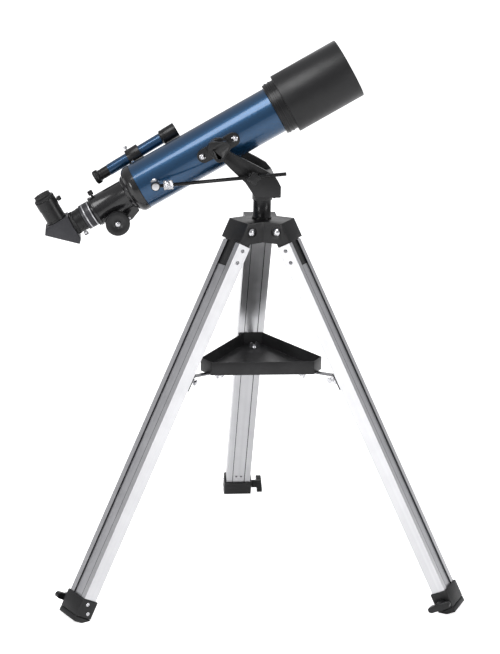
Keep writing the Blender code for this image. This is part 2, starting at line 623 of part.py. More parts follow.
# ---- focuser: body with pinion housing, drawtube with rack, shaft with its two knobs ----
body_front = SHOULDER_REAR - GAP
draw_way = DRAW_R + 0.0005
focuser = round_part("focuser_body",
                     [(draw_way, body_front), (TUBE_R - 0.0095, body_front), (TUBE_R - 0.0115, body_front - 0.004),
                      (BODY_R, body_front - 0.0065), (BODY_R, BODY_REAR + 0.005), (BODY_R + 0.001, BODY_REAR + 0.0045),
                      (BODY_R + 0.001, BODY_REAR), (draw_way, BODY_REAR)], BLACK, 24)
rack_bottom = -(PINION_DROP - PINION_R) + GAP
housing_half = 0.014
housing = plate("cut_housing",
                [(body_front - 0.001, -DRAW_R - 0.0025), (body_front - 0.001, -DRAW_R - 0.0145),
                 (PINION_X + 0.024, -TUBE_R),
                 (PINION_X - 0.004, -TUBE_R), (PINION_X - 0.016, -DRAW_R - 0.0165),
                 (PINION_X - 0.020, -DRAW_R - 0.0025)],
                2 * housing_half, None, tube, turn=SIDEWAYS)
rack_way = box("cut_rack_way", (BODY_REAR - 0.01, -RACK_HALF - 0.0005, rack_bottom - 0.0005),
               (body_front + 0.01, RACK_HALF + 0.0005, -DRAW_R + 0.0045), None, tube)
pinion_way = shaft("cut_pinion_way", PINION_R + 0.0008, -RACK_HALF - 0.001, RACK_HALF + 0.001, None, tube,
                   (PINION_X, 0, -PINION_DROP), ALONG_Y)
shaft_r = 0.003
shaft_way = shaft("cut_shaft_way", shaft_r + RUNNING, -0.03, 0.03, None, tube, (PINION_X, 0, -PINION_DROP), ALONG_Y)
screw_x = -0.231
screw_r = 0.0022
screw_way = shaft("cut_screw_way", screw_r + RUNNING, DRAW_R - 0.001, 0.04, None, tube, (screw_x, 0, 0), steps=12)
cut(join(focuser, housing), rack_way, pinion_way, shaft_way, screw_way)
draw = round_part("drawtube",
                  [(DRAW_R - DRAW_WALL, DRAW_FRONT), (DRAW_R, DRAW_FRONT), (DRAW_R, DRAW_COLLAR),
                   (DRAW_R + 0.003, DRAW_COLLAR), (DRAW_R + 0.003, DRAW_REAR), (DRAW_R - DRAW_WALL, DRAW_REAR)],
                  GREY, 24)
join(draw, box("cut_rack", (DRAW_COLLAR - 0.001, -RACK_HALF, rack_bottom),
               (DRAW_FRONT - 0.002, RACK_HALF, -DRAW_R + 0.001), None, tube))
knob_in = BODY_R + 0.0015
knob_out = knob_in + 0.012
half_shaft = [(0, knob_out), (FOCUS_KNOB_R - 0.0015, knob_out), (FOCUS_KNOB_R, knob_out - 0.0015),
              (FOCUS_KNOB_R, knob_in + 0.0015), (FOCUS_KNOB_R - 0.0015, knob_in), (0.007, knob_in),
              (0.007, housing_half + 0.0005), (shaft_r, housing_half + 0.0005), (shaft_r, RACK_HALF), (PINION_R, RACK_HALF)]
turned("focus_shaft", half_shaft + [(r, -z) for r, z in reversed(half_shaft)], BLACK, tube,
       (PINION_X, 0, -PINION_DROP), ALONG_Y, 20)


def thumb_screw(name, start, head_at, head, parent, at, turn, stem=0.0022, look=BLACK):
    """A screw with a plain stem from start to head_at and a head of (radius, thickness)."""
    end = head_at + head[1]
    profile = [(0, end), (head[0] * 0.85, end), (head[0], end - 0.001), (head[0], head_at), (stem, head_at),
               (stem, start), (0, start)]
    return turned(name, profile, look, parent, at, turn, 16)


thumb_screw("focus_lock_screw", DRAW_R + 0.0005, BODY_R + 0.003, (0.0045, 0.008), tube, (screw_x, 0, 0), UPRIGHT)

# ---- adapter, star diagonal with its prism, eyepiece holder and eyepiece ----
adapter_in = DRAW_R - DRAW_WALL - GAP
barrel_way = EYEPIECE_R + GAP
adapter = round_part("eyepiece_adapter",
                     [(barrel_way, DRAW_REAR + 0.012), (adapter_in, DRAW_REAR + 0.012), (adapter_in, DRAW_REAR - GAP),
                      (ADAPTER_R, DRAW_REAR - GAP), (ADAPTER_R, ADAPTER_REAR), (barrel_way, ADAPTER_REAR)], BLACK, 20)
adapter_screw_x = -0.2725
adapter_screw_way = shaft("cut_adapter_screw", 0.0022 + RUNNING, 0.015, 0.03, None, tube,
                          (adapter_screw_x, 0, 0), (pi, 0, 0), steps=12)
cut(adapter, adapter_screw_way)
thumb_screw("adapter_thumb_screw", EYEPIECE_R + 0.0005, ADAPTER_R + 0.001, (0.0036, 0.007), tube,
            (adapter_screw_x, 0, 0), (pi, 0, 0), look=CHROME)
face = ADAPTER_REAR - 2 * GAP
wedge = [(face, HOLDER_BASE), (DIAGONAL_AXIS - 0.0225, HOLDER_BASE), (DIAGONAL_AXIS - 0.0295, 0.010),
         (face - 0.0065, -0.033), (face, -0.026)]
diagonal = plate("diagonal_housing", wedge, 2 * DIAGONAL_HALF, GREY, tube, turn=SIDEWAYS)
soften(diagonal, 0.0012)
light_r = 0.0132
barrel = shaft("cut_barrel", EYEPIECE_R, face - 0.002, DRAW_REAR + 0.008, None, tube, turn=ALONG_X, steps=20)
light_in = shaft("cut_light_in", light_r, DIAGONAL_AXIS, DRAW_REAR + 0.02, None, tube, turn=ALONG_X, steps=16)
light_up = shaft("cut_light_up", light_r, 0.0, HOLDER_BASE + 0.01, None, tube, (DIAGONAL_AXIS, 0, 0), steps=20)
room = 0.0145
chamber = [(face - 0.004, HOLDER_BASE - 0.004), (DIAGONAL_AXIS - 0.019, HOLDER_BASE - 0.004),
           (DIAGONAL_AXIS - 0.0215, 0.0105), (face - 0.0085, -0.0265), (face - 0.004, -0.024)]
cut(join(diagonal, barrel), light_in, light_up,
    plate("cut_chamber", chamber, 2 * room, None, tube, turn=SIDEWAYS))
prism = [(face - 0.006, HOLDER_BASE - 0.006), (DIAGONAL_AXIS - 0.0165, HOLDER_BASE - 0.006),
         (DIAGONAL_AXIS - 0.0175, 0.010), (face - 0.0088, -0.0215), (face - 0.006, -0.0205)]
plate("diagonal_prism", prism, 2 * (room - GAP), GLASS, tube, turn=SIDEWAYS)
holder_base = HOLDER_BASE + GAP
holder_top = HOLDER_BASE + HOLDER_LENGTH
holder = turned("eyepiece_holder",
                [(barrel_way, holder_top), (HOLDER_R, holder_top), (HOLDER_R, holder_base), (light_r, holder_base),
                 (light_r, holder_base + 0.004), (barrel_way, holder_base + 0.004)],
                BLACK, tube, (DIAGONAL_AXIS, 0, 0), steps=20, bored=True)
holder_screw_z = holder_top - 0.0095
cut(holder, shaft("cut_holder_screw", 0.0022 + RUNNING, 0.012, 0.03, None, tube,
                  (DIAGONAL_AXIS, 0, holder_screw_z), ALONG_X, steps=12))
thumb_screw("holder_thumb_screw", EYEPIECE_R + 0.0005, HOLDER_R + 0.001, (0.0042, 0.007), tube,
            (DIAGONAL_AXIS, 0, holder_screw_z), ALONG_X)
cup = holder_top + GAP
turned("eyepiece",
       [(0.0055, cup + 0.010), (0.0125, cup + 0.0105), (0.0145, cup + 0.0095), (0.0180, cup + 0.0035),
        (0.0180, cup), (EYEPIECE_R, cup), (EYEPIECE_R, cup - 0.028), (0.0135, cup - 0.028),
        (0.0135, cup - 0.004), (0.0055, cup - 0.004)],
       RUBBER, tube, (DIAGONAL_AXIS, 0, 0), steps=20, bored=True)

# ---- finder in its ring bracket ----
finder_side = frame_at("finder_side_frame", (FINDER_MIDDLE, 0, 0), (-FINDER_SIDE, 0, 0), tube)
finder = frame_at("finder_frame", (0, 0, FINDER_OFF), (0, -FINDER_TILT, 0), finder_side)
finder_rear = -0.051
finder_front = 0.065
hood_r = 0.013
hood_rear = 0.057
hood_front = 0.085
bore_r = FINDER_R - 0.0012
round_part("finder_tube",
           [(hood_r - 0.0012, hood_front), (hood_r, hood_front), (hood_r, hood_rear), (FINDER_R, hood_rear - 0.003),
            (FINDER_R, finder_rear), (bore_r, finder_rear), (bore_r, finder_front), (hood_r - 0.0012, finder_front + 0.002)],
           BLUE, 18, parent=finder)
slim = bore_r - GAP
round_part("finder_eyepiece",
           [(0.0045, finder_rear + 0.010), (slim, finder_rear + 0.010), (slim, finder_rear - GAP),
            (FINDER_R - 0.0006, finder_rear - GAP), (FINDER_R - 0.0006, finder_rear - 0.018),
            (0.0122, finder_rear - 0.020), (0.0122, finder_rear - 0.027), (0.0095, finder_rear - 0.029),
            (0.0045, finder_rear - 0.029)],
           BLACK, 18, parent=finder)
ring_half = 0.012
bracket = round_part("finder_bracket", tube_profile(0.0142, FINDER_R + GAP, ring_half, -ring_half), BLACK, 18,
                     parent=finder)
stem_box = box("cut_stem", (-0.006, -0.0045, TUBE_R - 0.001), (0.006, 0.0045, FINDER_OFF - FINDER_R - 0.002), None,
               finder_side)
foot_box = box("cut_bracket_foot", (-0.014, -0.009, TUBE_R - 0.003), (0.014, 0.009, TUBE_R + 0.0028), None,
               finder_side)
cut(join(bracket, stem_box, foot_box), shaft("cut_bracket_seat", flank, -0.06, 0.06, None, finder_side,
                                             turn=ALONG_X, steps=36))

# ---- the origin is the middle of the floor area that the model covers ----
bpy.context.view_layer.update()
graph = bpy.context.evaluated_depsgraph_get()
reach = []
for piece in telescope.objects:
    if piece.type == "MESH":
        solid = piece.evaluated_get(graph)
        reach += [piece.matrix_world @ vertex.co for vertex in solid.data.vertices]
low = Vector(min(point[i] for point in reach) for i in range(3))
high = Vector(max(point[i] for point in reach) for i in range(3))
root.location = (-(low.x + high.x) / 2, -(low.y + high.y) / 2, -low.z)
bpy.context.view_layer.update()
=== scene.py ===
import json
from math import cos, pi, radians, sin

import bpy
from mathutils import Matrix, Vector

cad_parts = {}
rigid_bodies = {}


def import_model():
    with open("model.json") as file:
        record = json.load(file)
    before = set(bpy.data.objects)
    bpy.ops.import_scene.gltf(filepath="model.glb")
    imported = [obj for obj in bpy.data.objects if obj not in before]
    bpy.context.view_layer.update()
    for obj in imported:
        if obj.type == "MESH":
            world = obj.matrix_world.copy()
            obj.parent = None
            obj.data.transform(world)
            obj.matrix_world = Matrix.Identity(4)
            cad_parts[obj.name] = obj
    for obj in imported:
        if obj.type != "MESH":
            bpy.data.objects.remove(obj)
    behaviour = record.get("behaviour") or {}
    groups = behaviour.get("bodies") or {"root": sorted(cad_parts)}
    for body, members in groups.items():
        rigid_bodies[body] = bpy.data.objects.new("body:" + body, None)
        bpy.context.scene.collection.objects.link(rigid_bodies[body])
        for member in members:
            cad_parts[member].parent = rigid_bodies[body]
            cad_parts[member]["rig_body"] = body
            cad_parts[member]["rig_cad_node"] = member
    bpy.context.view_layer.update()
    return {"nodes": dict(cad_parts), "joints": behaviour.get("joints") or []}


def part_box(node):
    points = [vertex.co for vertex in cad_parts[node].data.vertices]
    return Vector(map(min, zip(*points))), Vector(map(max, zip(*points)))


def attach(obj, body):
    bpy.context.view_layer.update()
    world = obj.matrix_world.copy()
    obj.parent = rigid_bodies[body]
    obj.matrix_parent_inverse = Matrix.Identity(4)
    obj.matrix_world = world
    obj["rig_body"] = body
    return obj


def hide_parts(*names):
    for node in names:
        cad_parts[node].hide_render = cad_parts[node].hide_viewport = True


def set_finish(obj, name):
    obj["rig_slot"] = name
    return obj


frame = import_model()

# ---- camera, floor and light ----
# The telescope stands on a pale studio floor and is seen from its near side, a little from above.
# A long lens is used, with one large soft box over it, one on each side and a bright room round it.
camera = bpy.data.objects.new("camera", bpy.data.cameras.new("camera"))
bpy.context.scene.collection.objects.link(camera)
camera.data.lens = 95.65
camera.data.clip_end = 60.0
camera.location = (-0.2905, -3.0214, 1.3272)
camera.rotation_euler = (radians(73.714), radians(-1.073), radians(-5.347))
bpy.context.scene.camera = camera

bpy.ops.object.select_all(action="DESELECT")
bpy.ops.mesh.primitive_grid_add(x_subdivisions=4, y_subdivisions=4, size=24, location=(0, 0, -0.0006))
floor = bpy.context.object
floor.name = "studio_floor"
floor_paint = bpy.data.materials.new("floor_paint")
floor_paint.use_nodes = True
floor_mist = floor_paint.node_tree.nodes.new("ShaderNodeTexNoise")
floor_mist.inputs["Scale"].default_value = 1.5
floor_tone = floor_paint.node_tree.nodes.new("ShaderNodeValToRGB")
floor_tone.color_ramp.elements[0].color = (0.86, 0.86, 0.86, 1)
floor_tone.color_ramp.elements[1].color = (0.90, 0.90, 0.90, 1)
floor_shader = floor_paint.node_tree.nodes["Principled BSDF"]
floor_shader.inputs["Roughness"].default_value = 0.9
floor_shader.inputs["Specular IOR Level"].default_value = 0.1
floor_paint.node_tree.links.new(floor_mist.outputs["Fac"], floor_tone.inputs["Fac"])
floor_paint.node_tree.links.new(floor_tone.outputs["Color"], floor_shader.inputs["Base Color"])
# painted shade: the floor glows evenly where the camera sees it, but to all other rays its glow is weaker
# near the stand's middle, in place of the tripod's shade, and stronger further out
floor_at = floor_paint.node_tree.nodes.new("ShaderNodeTexCoord")
floor_reach = floor_paint.node_tree.nodes.new("ShaderNodeVectorMath")
floor_reach.operation = "LENGTH"
floor_painted_shade = floor_paint.node_tree.nodes.new("ShaderNodeMapRange")
for floor_label, floor_value in (("From Min", 0.25), ("From Max", 1.2), ("To Min", 0.12), ("To Max", 0.5)):
    floor_painted_shade.inputs[floor_label].default_value = floor_value
floor_seen = floor_paint.node_tree.nodes.new("ShaderNodeLightPath")
floor_glow = floor_paint.node_tree.nodes.new("ShaderNodeMix")
floor_glow.inputs[3].default_value = 0.8
floor_paint.node_tree.links.new(floor_at.outputs["Object"], floor_reach.inputs[0])
floor_paint.node_tree.links.new(floor_reach.outputs["Value"], floor_painted_shade.inputs["Value"])
floor_paint.node_tree.links.new(floor_seen.outputs["Is Camera Ray"], floor_glow.inputs[0])
floor_paint.node_tree.links.new(floor_painted_shade.outputs["Result"], floor_glow.inputs[2])
floor_paint.node_tree.links.new(floor_glow.outputs[0], floor_shader.inputs["Emission Strength"])
floor_shader.inputs["Emission Color"].default_value = (1, 1, 1, 1)
floor.data.materials.append(floor_paint)

room = bpy.data.worlds.new("studio_room")
room.use_nodes = True
room_way = room.node_tree.nodes.new("ShaderNodeTexCoord")
room_height = room.node_tree.nodes.new("ShaderNodeSeparateXYZ")
room_tone = room.node_tree.nodes.new("ShaderNodeValToRGB")
room_tone.color_ramp.elements[0].color = (0.42, 0.42, 0.43, 1)
room_tone.color_ramp.elements[1].color = (0.85, 0.85, 0.87, 1)
room.node_tree.links.new(room_way.outputs["Generated"], room_height.inputs[0])
room.node_tree.links.new(room_height.outputs["Z"], room_tone.inputs["Fac"])
room.node_tree.links.new(room_tone.outputs["Color"], room.node_tree.nodes["Background"].inputs["Color"])
room.node_tree.nodes["Background"].inputs["Strength"].default_value = 0.8
bpy.context.scene.world = room
bpy.context.scene.view_settings.view_transform = "Standard"
SOFT_BOXES = (("over", (-0.7, -1.1, 2.7), 1.3, 34), ("left", (-2.3, -2.0, 1.3), 1.0, 24),
              ("right", (2.2, -1.7, 1.3), 0.9, 15), ("back", (0.6, 2.6, 1.9), 1.4, 7))
for box_name, box_at, box_size, box_watts in SOFT_BOXES:
    soft_box = bpy.data.objects.new(f"soft_box_{box_name}", bpy.data.lights.new(f"soft_box_{box_name}",
                                                                                "AREA"))
    soft_box.data.size = box_size
    soft_box.data.energy = box_watts
    soft_box.location = box_at
    soft_box.rotation_euler = (Vector((0, 0, 0.6)) - Vector(box_at)).to_track_quat("-Z", "Y").to_euler()
    bpy.context.scene.collection.objects.link(soft_box)

# ---- upper legs ----
# Extruded aluminium channels with satin anodising and faint lines from the die along their length.
# Each is gripped at its top by a moulded hinge block and at its foot by a collar.
joint = {entry["name"]: entry for entry in frame["joints"]}
SIDES = ("rear", "left", "right")
UP = Vector((0, 0, 1))


def axis_of(name):
    return Vector(joint[name]["axis"]).normalized()


def frame_from(origin, along_x, along_z):
    turn = Matrix((along_x, along_z.cross(along_x), along_z)).transposed().to_4x4()
    return Matrix.Translation(origin) @ turn


leg_frame = {}
for side in SIDES:
    up_leg = -axis_of(f"extend_{side}")
    outward = axis_of(f"fold_{side}").cross(up_leg)
    leg_frame[side] = frame_from(Vector(joint[f"fold_{side}"]["pos_m"]), outward, up_leg)


def effect(name, inputs, outputs):
    """An empty node group with its sockets, and its input and output nodes."""
    group = bpy.data.node_groups.new(name, "ShaderNodeTree")
    for label, kind, value in inputs:
        socket = group.interface.new_socket(label, in_out="INPUT", socket_type=kind)
        if value is not None:
            socket.default_value = value
    for label, kind in outputs:
        group.interface.new_socket(label, in_out="OUTPUT", socket_type=kind)
    return group, group.nodes.new("NodeGroupInput"), group.nodes.new("NodeGroupOutput")


def add_node(tree, kind, settings, values, links):
    """A node with its settings, socket values and links from other nodes' sockets."""
    node = tree.nodes.new(kind)
    for setting, value in settings.items():
        setattr(node, setting, value)
    for socket, value in values.items():
        node.inputs[socket].default_value = value
    for socket, source in links.items():
        tree.links.new(source, node.inputs[socket])
    return node


# fine lines along Z, as a die or a lathe leaves them
drawn_lines, lines_in, lines_out = effect(
    "drawn_lines",
    (("Vector", "NodeSocketVector", None), ("Fineness", "NodeSocketFloat", 900.0)),
    (("Height", "NodeSocketFloat"), ("Tone", "NodeSocketFloat")))
stretched = add_node(drawn_lines, "ShaderNodeVectorMath", {"operation": "MULTIPLY"}, {1: (1, 1, 0.006)},
                     {0: lines_in.outputs["Vector"]})
thin_lines = add_node(drawn_lines, "ShaderNodeTexNoise", {}, {"Detail": 4.0, "Roughness": 0.7},
                      {"Vector": stretched.outputs[0], "Scale": lines_in.outputs["Fineness"]})
broad_lines = add_node(drawn_lines, "ShaderNodeTexNoise", {}, {"Scale": 140.0, "Detail": 2.0},
                       {"Vector": stretched.outputs[0]})
drawn_lines.links.new(thin_lines.outputs["Fac"], lines_out.inputs["Height"])
drawn_lines.links.new(broad_lines.outputs["Fac"], lines_out.inputs["Tone"])

# where hands and handling have dulled or lightened a finish
handled, handled_in, handled_out = effect(
    "handled",
    (("Vector", "NodeSocketVector", None), ("Colour", "NodeSocketColor", (0.5, 0.5, 0.5, 1)),
     ("Worn", "NodeSocketColor", (0.6, 0.6, 0.6, 1)), ("Share", "NodeSocketFloat", 0.4),
     ("Roughness", "NodeSocketFloat", 0.4), ("Smear", "NodeSocketFloat", 0.16)),
    (("Colour", "NodeSocketColor"), ("Roughness", "NodeSocketFloat")))
patches = add_node(handled, "ShaderNodeTexNoise", {}, {"Scale": 22.0, "Detail": 6.0, "Roughness": 0.62},
                   {"Vector": handled_in.outputs["Vector"]})
patch_edge = add_node(handled, "ShaderNodeMapRange", {}, {"From Min": 0.42, "From Max": 0.68},
                      {"Value": patches.outputs["Fac"]})
patch_share = add_node(handled, "ShaderNodeMath", {"operation": "MULTIPLY"}, {},
                       {0: patch_edge.outputs["Result"], 1: handled_in.outputs["Share"]})
patch_colour = add_node(handled, "ShaderNodeMix", {"data_type": "RGBA"}, {},
                        {0: patch_share.outputs[0], 6: handled_in.outputs["Colour"],
                         7: handled_in.outputs["Worn"]})
smears = add_node(handled, "ShaderNodeTexNoise", {}, {"Scale": 60.0, "Detail": 5.0},
                  {"Vector": handled_in.outputs["Vector"]})
smear_level = add_node(handled, "ShaderNodeMath", {"operation": "SUBTRACT"}, {1: 0.5},
                       {0: smears.outputs["Fac"]})
smear_depth = add_node(handled, "ShaderNodeMath", {"operation": "MULTIPLY"}, {},
                       {0: smear_level.outputs[0], 1: handled_in.outputs["Smear"]})
smeared = add_node(handled, "ShaderNodeMath", {"operation": "ADD", "use_clamp": True}, {},
                   {0: smear_depth.outputs[0], 1: handled_in.outputs["Roughness"]})
handled.links.new(patch_colour.outputs[2], handled_out.inputs["Colour"])
handled.links.new(smeared.outputs[0], handled_out.inputs["Roughness"])


# painted shade: dark lines painted in the colour where the channel's lip meets the slide, and on the leg's
# inner face, in place of the shade in these grooves
painted_groove_shade, groove_shade_in, groove_shade_out = effect(
    "painted_groove_shade",
    (("Vector", "NodeSocketVector", None), ("Across", "NodeSocketFloat", 0.0121),
     ("Width", "NodeSocketFloat", 0.0006)),
    (("Mask", "NodeSocketFloat"),))
groove_shade_axes = add_node(painted_groove_shade, "ShaderNodeSeparateXYZ", {}, {}, {0: groove_shade_in.outputs["Vector"]})
groove_shade_offset = add_node(painted_groove_shade, "ShaderNodeMath", {"operation": "ABSOLUTE"}, {}, {0: groove_shade_axes.outputs["Y"]})
groove_shade_hit = add_node(painted_groove_shade, "ShaderNodeMath", {"operation": "COMPARE"}, {},
                    {0: groove_shade_offset.outputs[0], 1: groove_shade_in.outputs["Across"], 2: groove_shade_in.outputs["Width"]})
painted_groove_shade.links.new(groove_shade_hit.outputs[0], groove_shade_out.inputs["Mask"])


def paint_groove_shade(material, place):
    """Paints the shade of a leg's grooves into its metal's colour as dark lines; place is the leg's frame.
    """
    tree = material.node_tree
    shader = tree.nodes["Principled BSDF"]
    old = shader.inputs["Base Color"].links[0].from_socket
    inside = place.inverted()
    coordinates = add_node(tree, "ShaderNodeTexCoord", {}, {}, {})
    leg_place = add_node(tree, "ShaderNodeMapping", {},
                         {"Location": inside.translation, "Rotation": inside.to_euler()},
                         {"Vector": coordinates.outputs["Object"]})
    groove_shade_mask = add_node(tree, "ShaderNodeGroup", {"node_tree": painted_groove_shade}, {},
                    {"Vector": leg_place.outputs["Vector"]})
    # painted shade: the groove lines are mixed to near black in the base colour
    painted_groove_colour = add_node(tree, "ShaderNodeMix", {"data_type": "RGBA"}, {7: (0.05, 0.05, 0.055, 1)},
                      {0: groove_shade_mask.outputs["Mask"], 6: old})
    tree.links.new(painted_groove_colour.outputs[2], shader.inputs["Base Color"])


def bare_metal(name, colour, worn, roughness, fineness, depth, axes):
    """Metal with drawn lines along the third of its axes, a matrix."""
    material = bpy.data.materials.new(name)
    material.use_nodes = True
    tree = material.node_tree
    place = add_node(tree, "ShaderNodeTexCoord", {}, {}, {})
    turned_place = add_node(tree, "ShaderNodeMapping", {}, {"Rotation": axes.inverted().to_euler()},
                            {"Vector": place.outputs["Object"]})
    lines = add_node(tree, "ShaderNodeGroup", {"node_tree": drawn_lines}, {"Fineness": fineness},
                     {"Vector": turned_place.outputs["Vector"]})
    wear = add_node(tree, "ShaderNodeGroup", {"node_tree": handled},
                    {"Colour": (*colour, 1), "Worn": (*worn, 1), "Share": 0.5, "Roughness": roughness},
                    {"Vector": place.outputs["Object"]})
    tone = add_node(tree, "ShaderNodeMapRange", {}, {"To Min": 0.86, "To Max": 1.08},
                    {"Value": lines.outputs["Tone"]})
    colour_tone = add_node(tree, "ShaderNodeVectorMath", {"operation": "SCALE"}, {},
                           {0: wear.outputs["Colour"], "Scale": tone.outputs["Result"]})
    bump = add_node(tree, "ShaderNodeBump", {}, {"Strength": 0.5, "Distance": depth},
                    {"Height": lines.outputs["Height"]})
    shader = tree.nodes["Principled BSDF"]
    shader.inputs["Metallic"].default_value = 1.0
    tree.links.new(colour_tone.outputs[0], shader.inputs["Base Color"])
    tree.links.new(wear.outputs["Roughness"], shader.inputs["Roughness"])
    tree.links.new(bump.outputs["Normal"], shader.inputs["Normal"])
    return material


def coat_node(node, material, slot):
    """Gives a CAD node its finish."""
    piece = frame["nodes"][node]
    piece.data.materials.clear()
    piece.data.materials.append(material)
    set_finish(piece, slot)


ALUMINIUM = (0.74, 0.74, 0.755)
ALUMINIUM_WORN = (0.66, 0.66, 0.68)
leg_metal = {}
for side in SIDES:
    leg_axes = leg_frame[side].to_3x3()
    leg_metal[side] = bare_metal(f"anodised_leg_{side}", ALUMINIUM, ALUMINIUM_WORN, 0.33, 900.0, 0.00006,
                                 leg_axes)
    # paints the shade of the leg's grooves into its colour
    paint_groove_shade(leg_metal[side], leg_frame[side])
    coat_node(f"upper_leg_{side}", leg_metal[side], "aluminium")

# ---- lower legs ----
# Plain rectangular aluminium tubes that slide in the channels of the upper legs.
# They are a shade darker, because the collars rub their finish as they slide.
for side in SIDES:
    slide_metal = bare_metal(f"rubbed_slide_{side}", (0.66, 0.66, 0.68), (0.56, 0.56, 0.58), 0.4, 700.0,
                             0.00008, leg_frame[side].to_3x3())
    coat_node(f"lower_leg_{side}", slide_metal, "aluminium")

# ---- collars and feet ----
# Black glass-filled plastic with a fine moulded grain; each collar is pressed on the channel's end
# and held by two screws, and each foot is plugged on the end of the slide.
moulded_grain, grain_in, grain_out = effect(
    "moulded_grain",
    (("Vector", "NodeSocketVector", None), ("Size", "NodeSocketFloat", 1500.0)),
    (("Height", "NodeSocketFloat"),))
fine_grain = add_node(moulded_grain, "ShaderNodeTexNoise", {}, {"Detail": 3.0, "Roughness": 0.55},
                      {"Vector": grain_in.outputs["Vector"], "Scale": grain_in.outputs["Size"]})
pits = add_node(moulded_grain, "ShaderNodeTexVoronoi", {}, {},
                {"Vector": grain_in.outputs["Vector"], "Scale": grain_in.outputs["Size"]})
grain_sum = add_node(moulded_grain, "ShaderNodeMath", {"operation": "MULTIPLY_ADD"}, {1: 0.4},
                     {0: pits.outputs["Distance"], 2: fine_grain.outputs["Fac"]})
moulded_grain.links.new(grain_sum.outputs[0], grain_out.inputs["Height"])


def grained(name, colour, worn, share, roughness, size, depth, metallic=0.0, coat=0.0):
    """A moulded, cast or painted finish with a fine grain."""
    material = bpy.data.materials.new(name)
    material.use_nodes = True
    tree = material.node_tree
    place = add_node(tree, "ShaderNodeTexCoord", {}, {}, {})
    wear = add_node(tree, "ShaderNodeGroup", {"node_tree": handled},
                    {"Colour": (*colour, 1), "Worn": (*worn, 1), "Share": share, "Roughness": roughness},
                    {"Vector": place.outputs["Object"]})
    grain = add_node(tree, "ShaderNodeGroup", {"node_tree": moulded_grain}, {"Size": size},
                     {"Vector": place.outputs["Object"]})
    bump = add_node(tree, "ShaderNodeBump", {}, {"Strength": 0.6, "Distance": depth},
                    {"Height": grain.outputs["Height"]})
    shader = tree.nodes["Principled BSDF"]
    shader.inputs["Metallic"].default_value = metallic
    shader.inputs["Specular IOR Level"].default_value = 0.35
    shader.inputs["Coat Weight"].default_value = coat
    shader.inputs["Coat Roughness"].default_value = 0.12
    tree.links.new(wear.outputs["Colour"], shader.inputs["Base Color"])
    tree.links.new(wear.outputs["Roughness"], shader.inputs["Roughness"])
    tree.links.new(bump.outputs["Normal"], shader.inputs["Normal"])
    return material


def select_only(piece):
    bpy.ops.object.select_all(action="DESELECT")
    piece.select_set(True)
    bpy.context.view_layer.objects.active = piece


def refined(node, edge=0.0):
    """A merged copy of a CAD node, its broad faces whole and its edges rounded by edge."""
    piece = frame["nodes"][node].copy()
    piece.data = piece.data.copy()
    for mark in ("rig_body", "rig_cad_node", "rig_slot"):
        if mark in piece:
            del piece[mark]
    piece.parent = None
    bpy.context.scene.collection.objects.link(piece)
    select_only(piece)
    bpy.ops.object.mode_set(mode="EDIT")
    bpy.ops.mesh.select_all(action="SELECT")
    bpy.ops.mesh.remove_doubles(threshold=2e-6)
    bpy.ops.mesh.dissolve_limited(angle_limit=radians(1))
    bpy.ops.object.mode_set(mode="OBJECT")
    if edge:
        rounding = piece.modifiers.new("rounding", "BEVEL")
        rounding.width = edge
        rounding.segments = 2
        rounding.limit_method = "ANGLE"
        rounding.angle_limit = radians(38)
        bpy.ops.object.modifier_apply(modifier="rounding")
    bpy.ops.object.shade_smooth_by_angle(angle=radians(38))
    return piece


def dress(piece, name, material, slot, body, *nodes):
    """Names a piece, gives it its finish, says what it rides on, and hides the CAD nodes it takes the place
    of.
    """
    piece.name = name
    piece.data.name = name
    piece.data.materials.clear()
    piece.data.materials.append(material)
    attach(piece, body)
    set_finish(piece, slot)
    if nodes:
        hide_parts(*nodes)
    return piece


collar_plastic = grained("collar_plastic", (0.009, 0.009, 0.0095), (0.02, 0.02, 0.021), 0.5, 0.4, 1100.0,
                         0.00012)
for side in SIDES:
    dress(refined(f"leg_collar_{side}", 0.0006), f"collar_{side}", collar_plastic, "black_plastic",
          f"leg_{side}", f"leg_collar_{side}")
    dress(refined(f"foot_{side}", 0.0006), f"foot_block_{side}", collar_plastic, "black_plastic",
          f"lower_{side}", f"foot_{side}")

# ---- collar screws ----
# Two chromed pan-head screws on the side wall of each collar, each in a pressed washer.
# A round recess is sunk in the head.
chrome = bare_metal("polished_chrome", (0.62, 0.62, 0.64), (0.5, 0.5, 0.52), 0.14, 1200.0, 0.00002,
                    Matrix.Identity(3))
zinc = bare_metal("dull_zinc", (0.26, 0.26, 0.27), (0.16, 0.16, 0.165), 0.24, 1000.0, 0.00003,
                  Matrix.Identity(3))


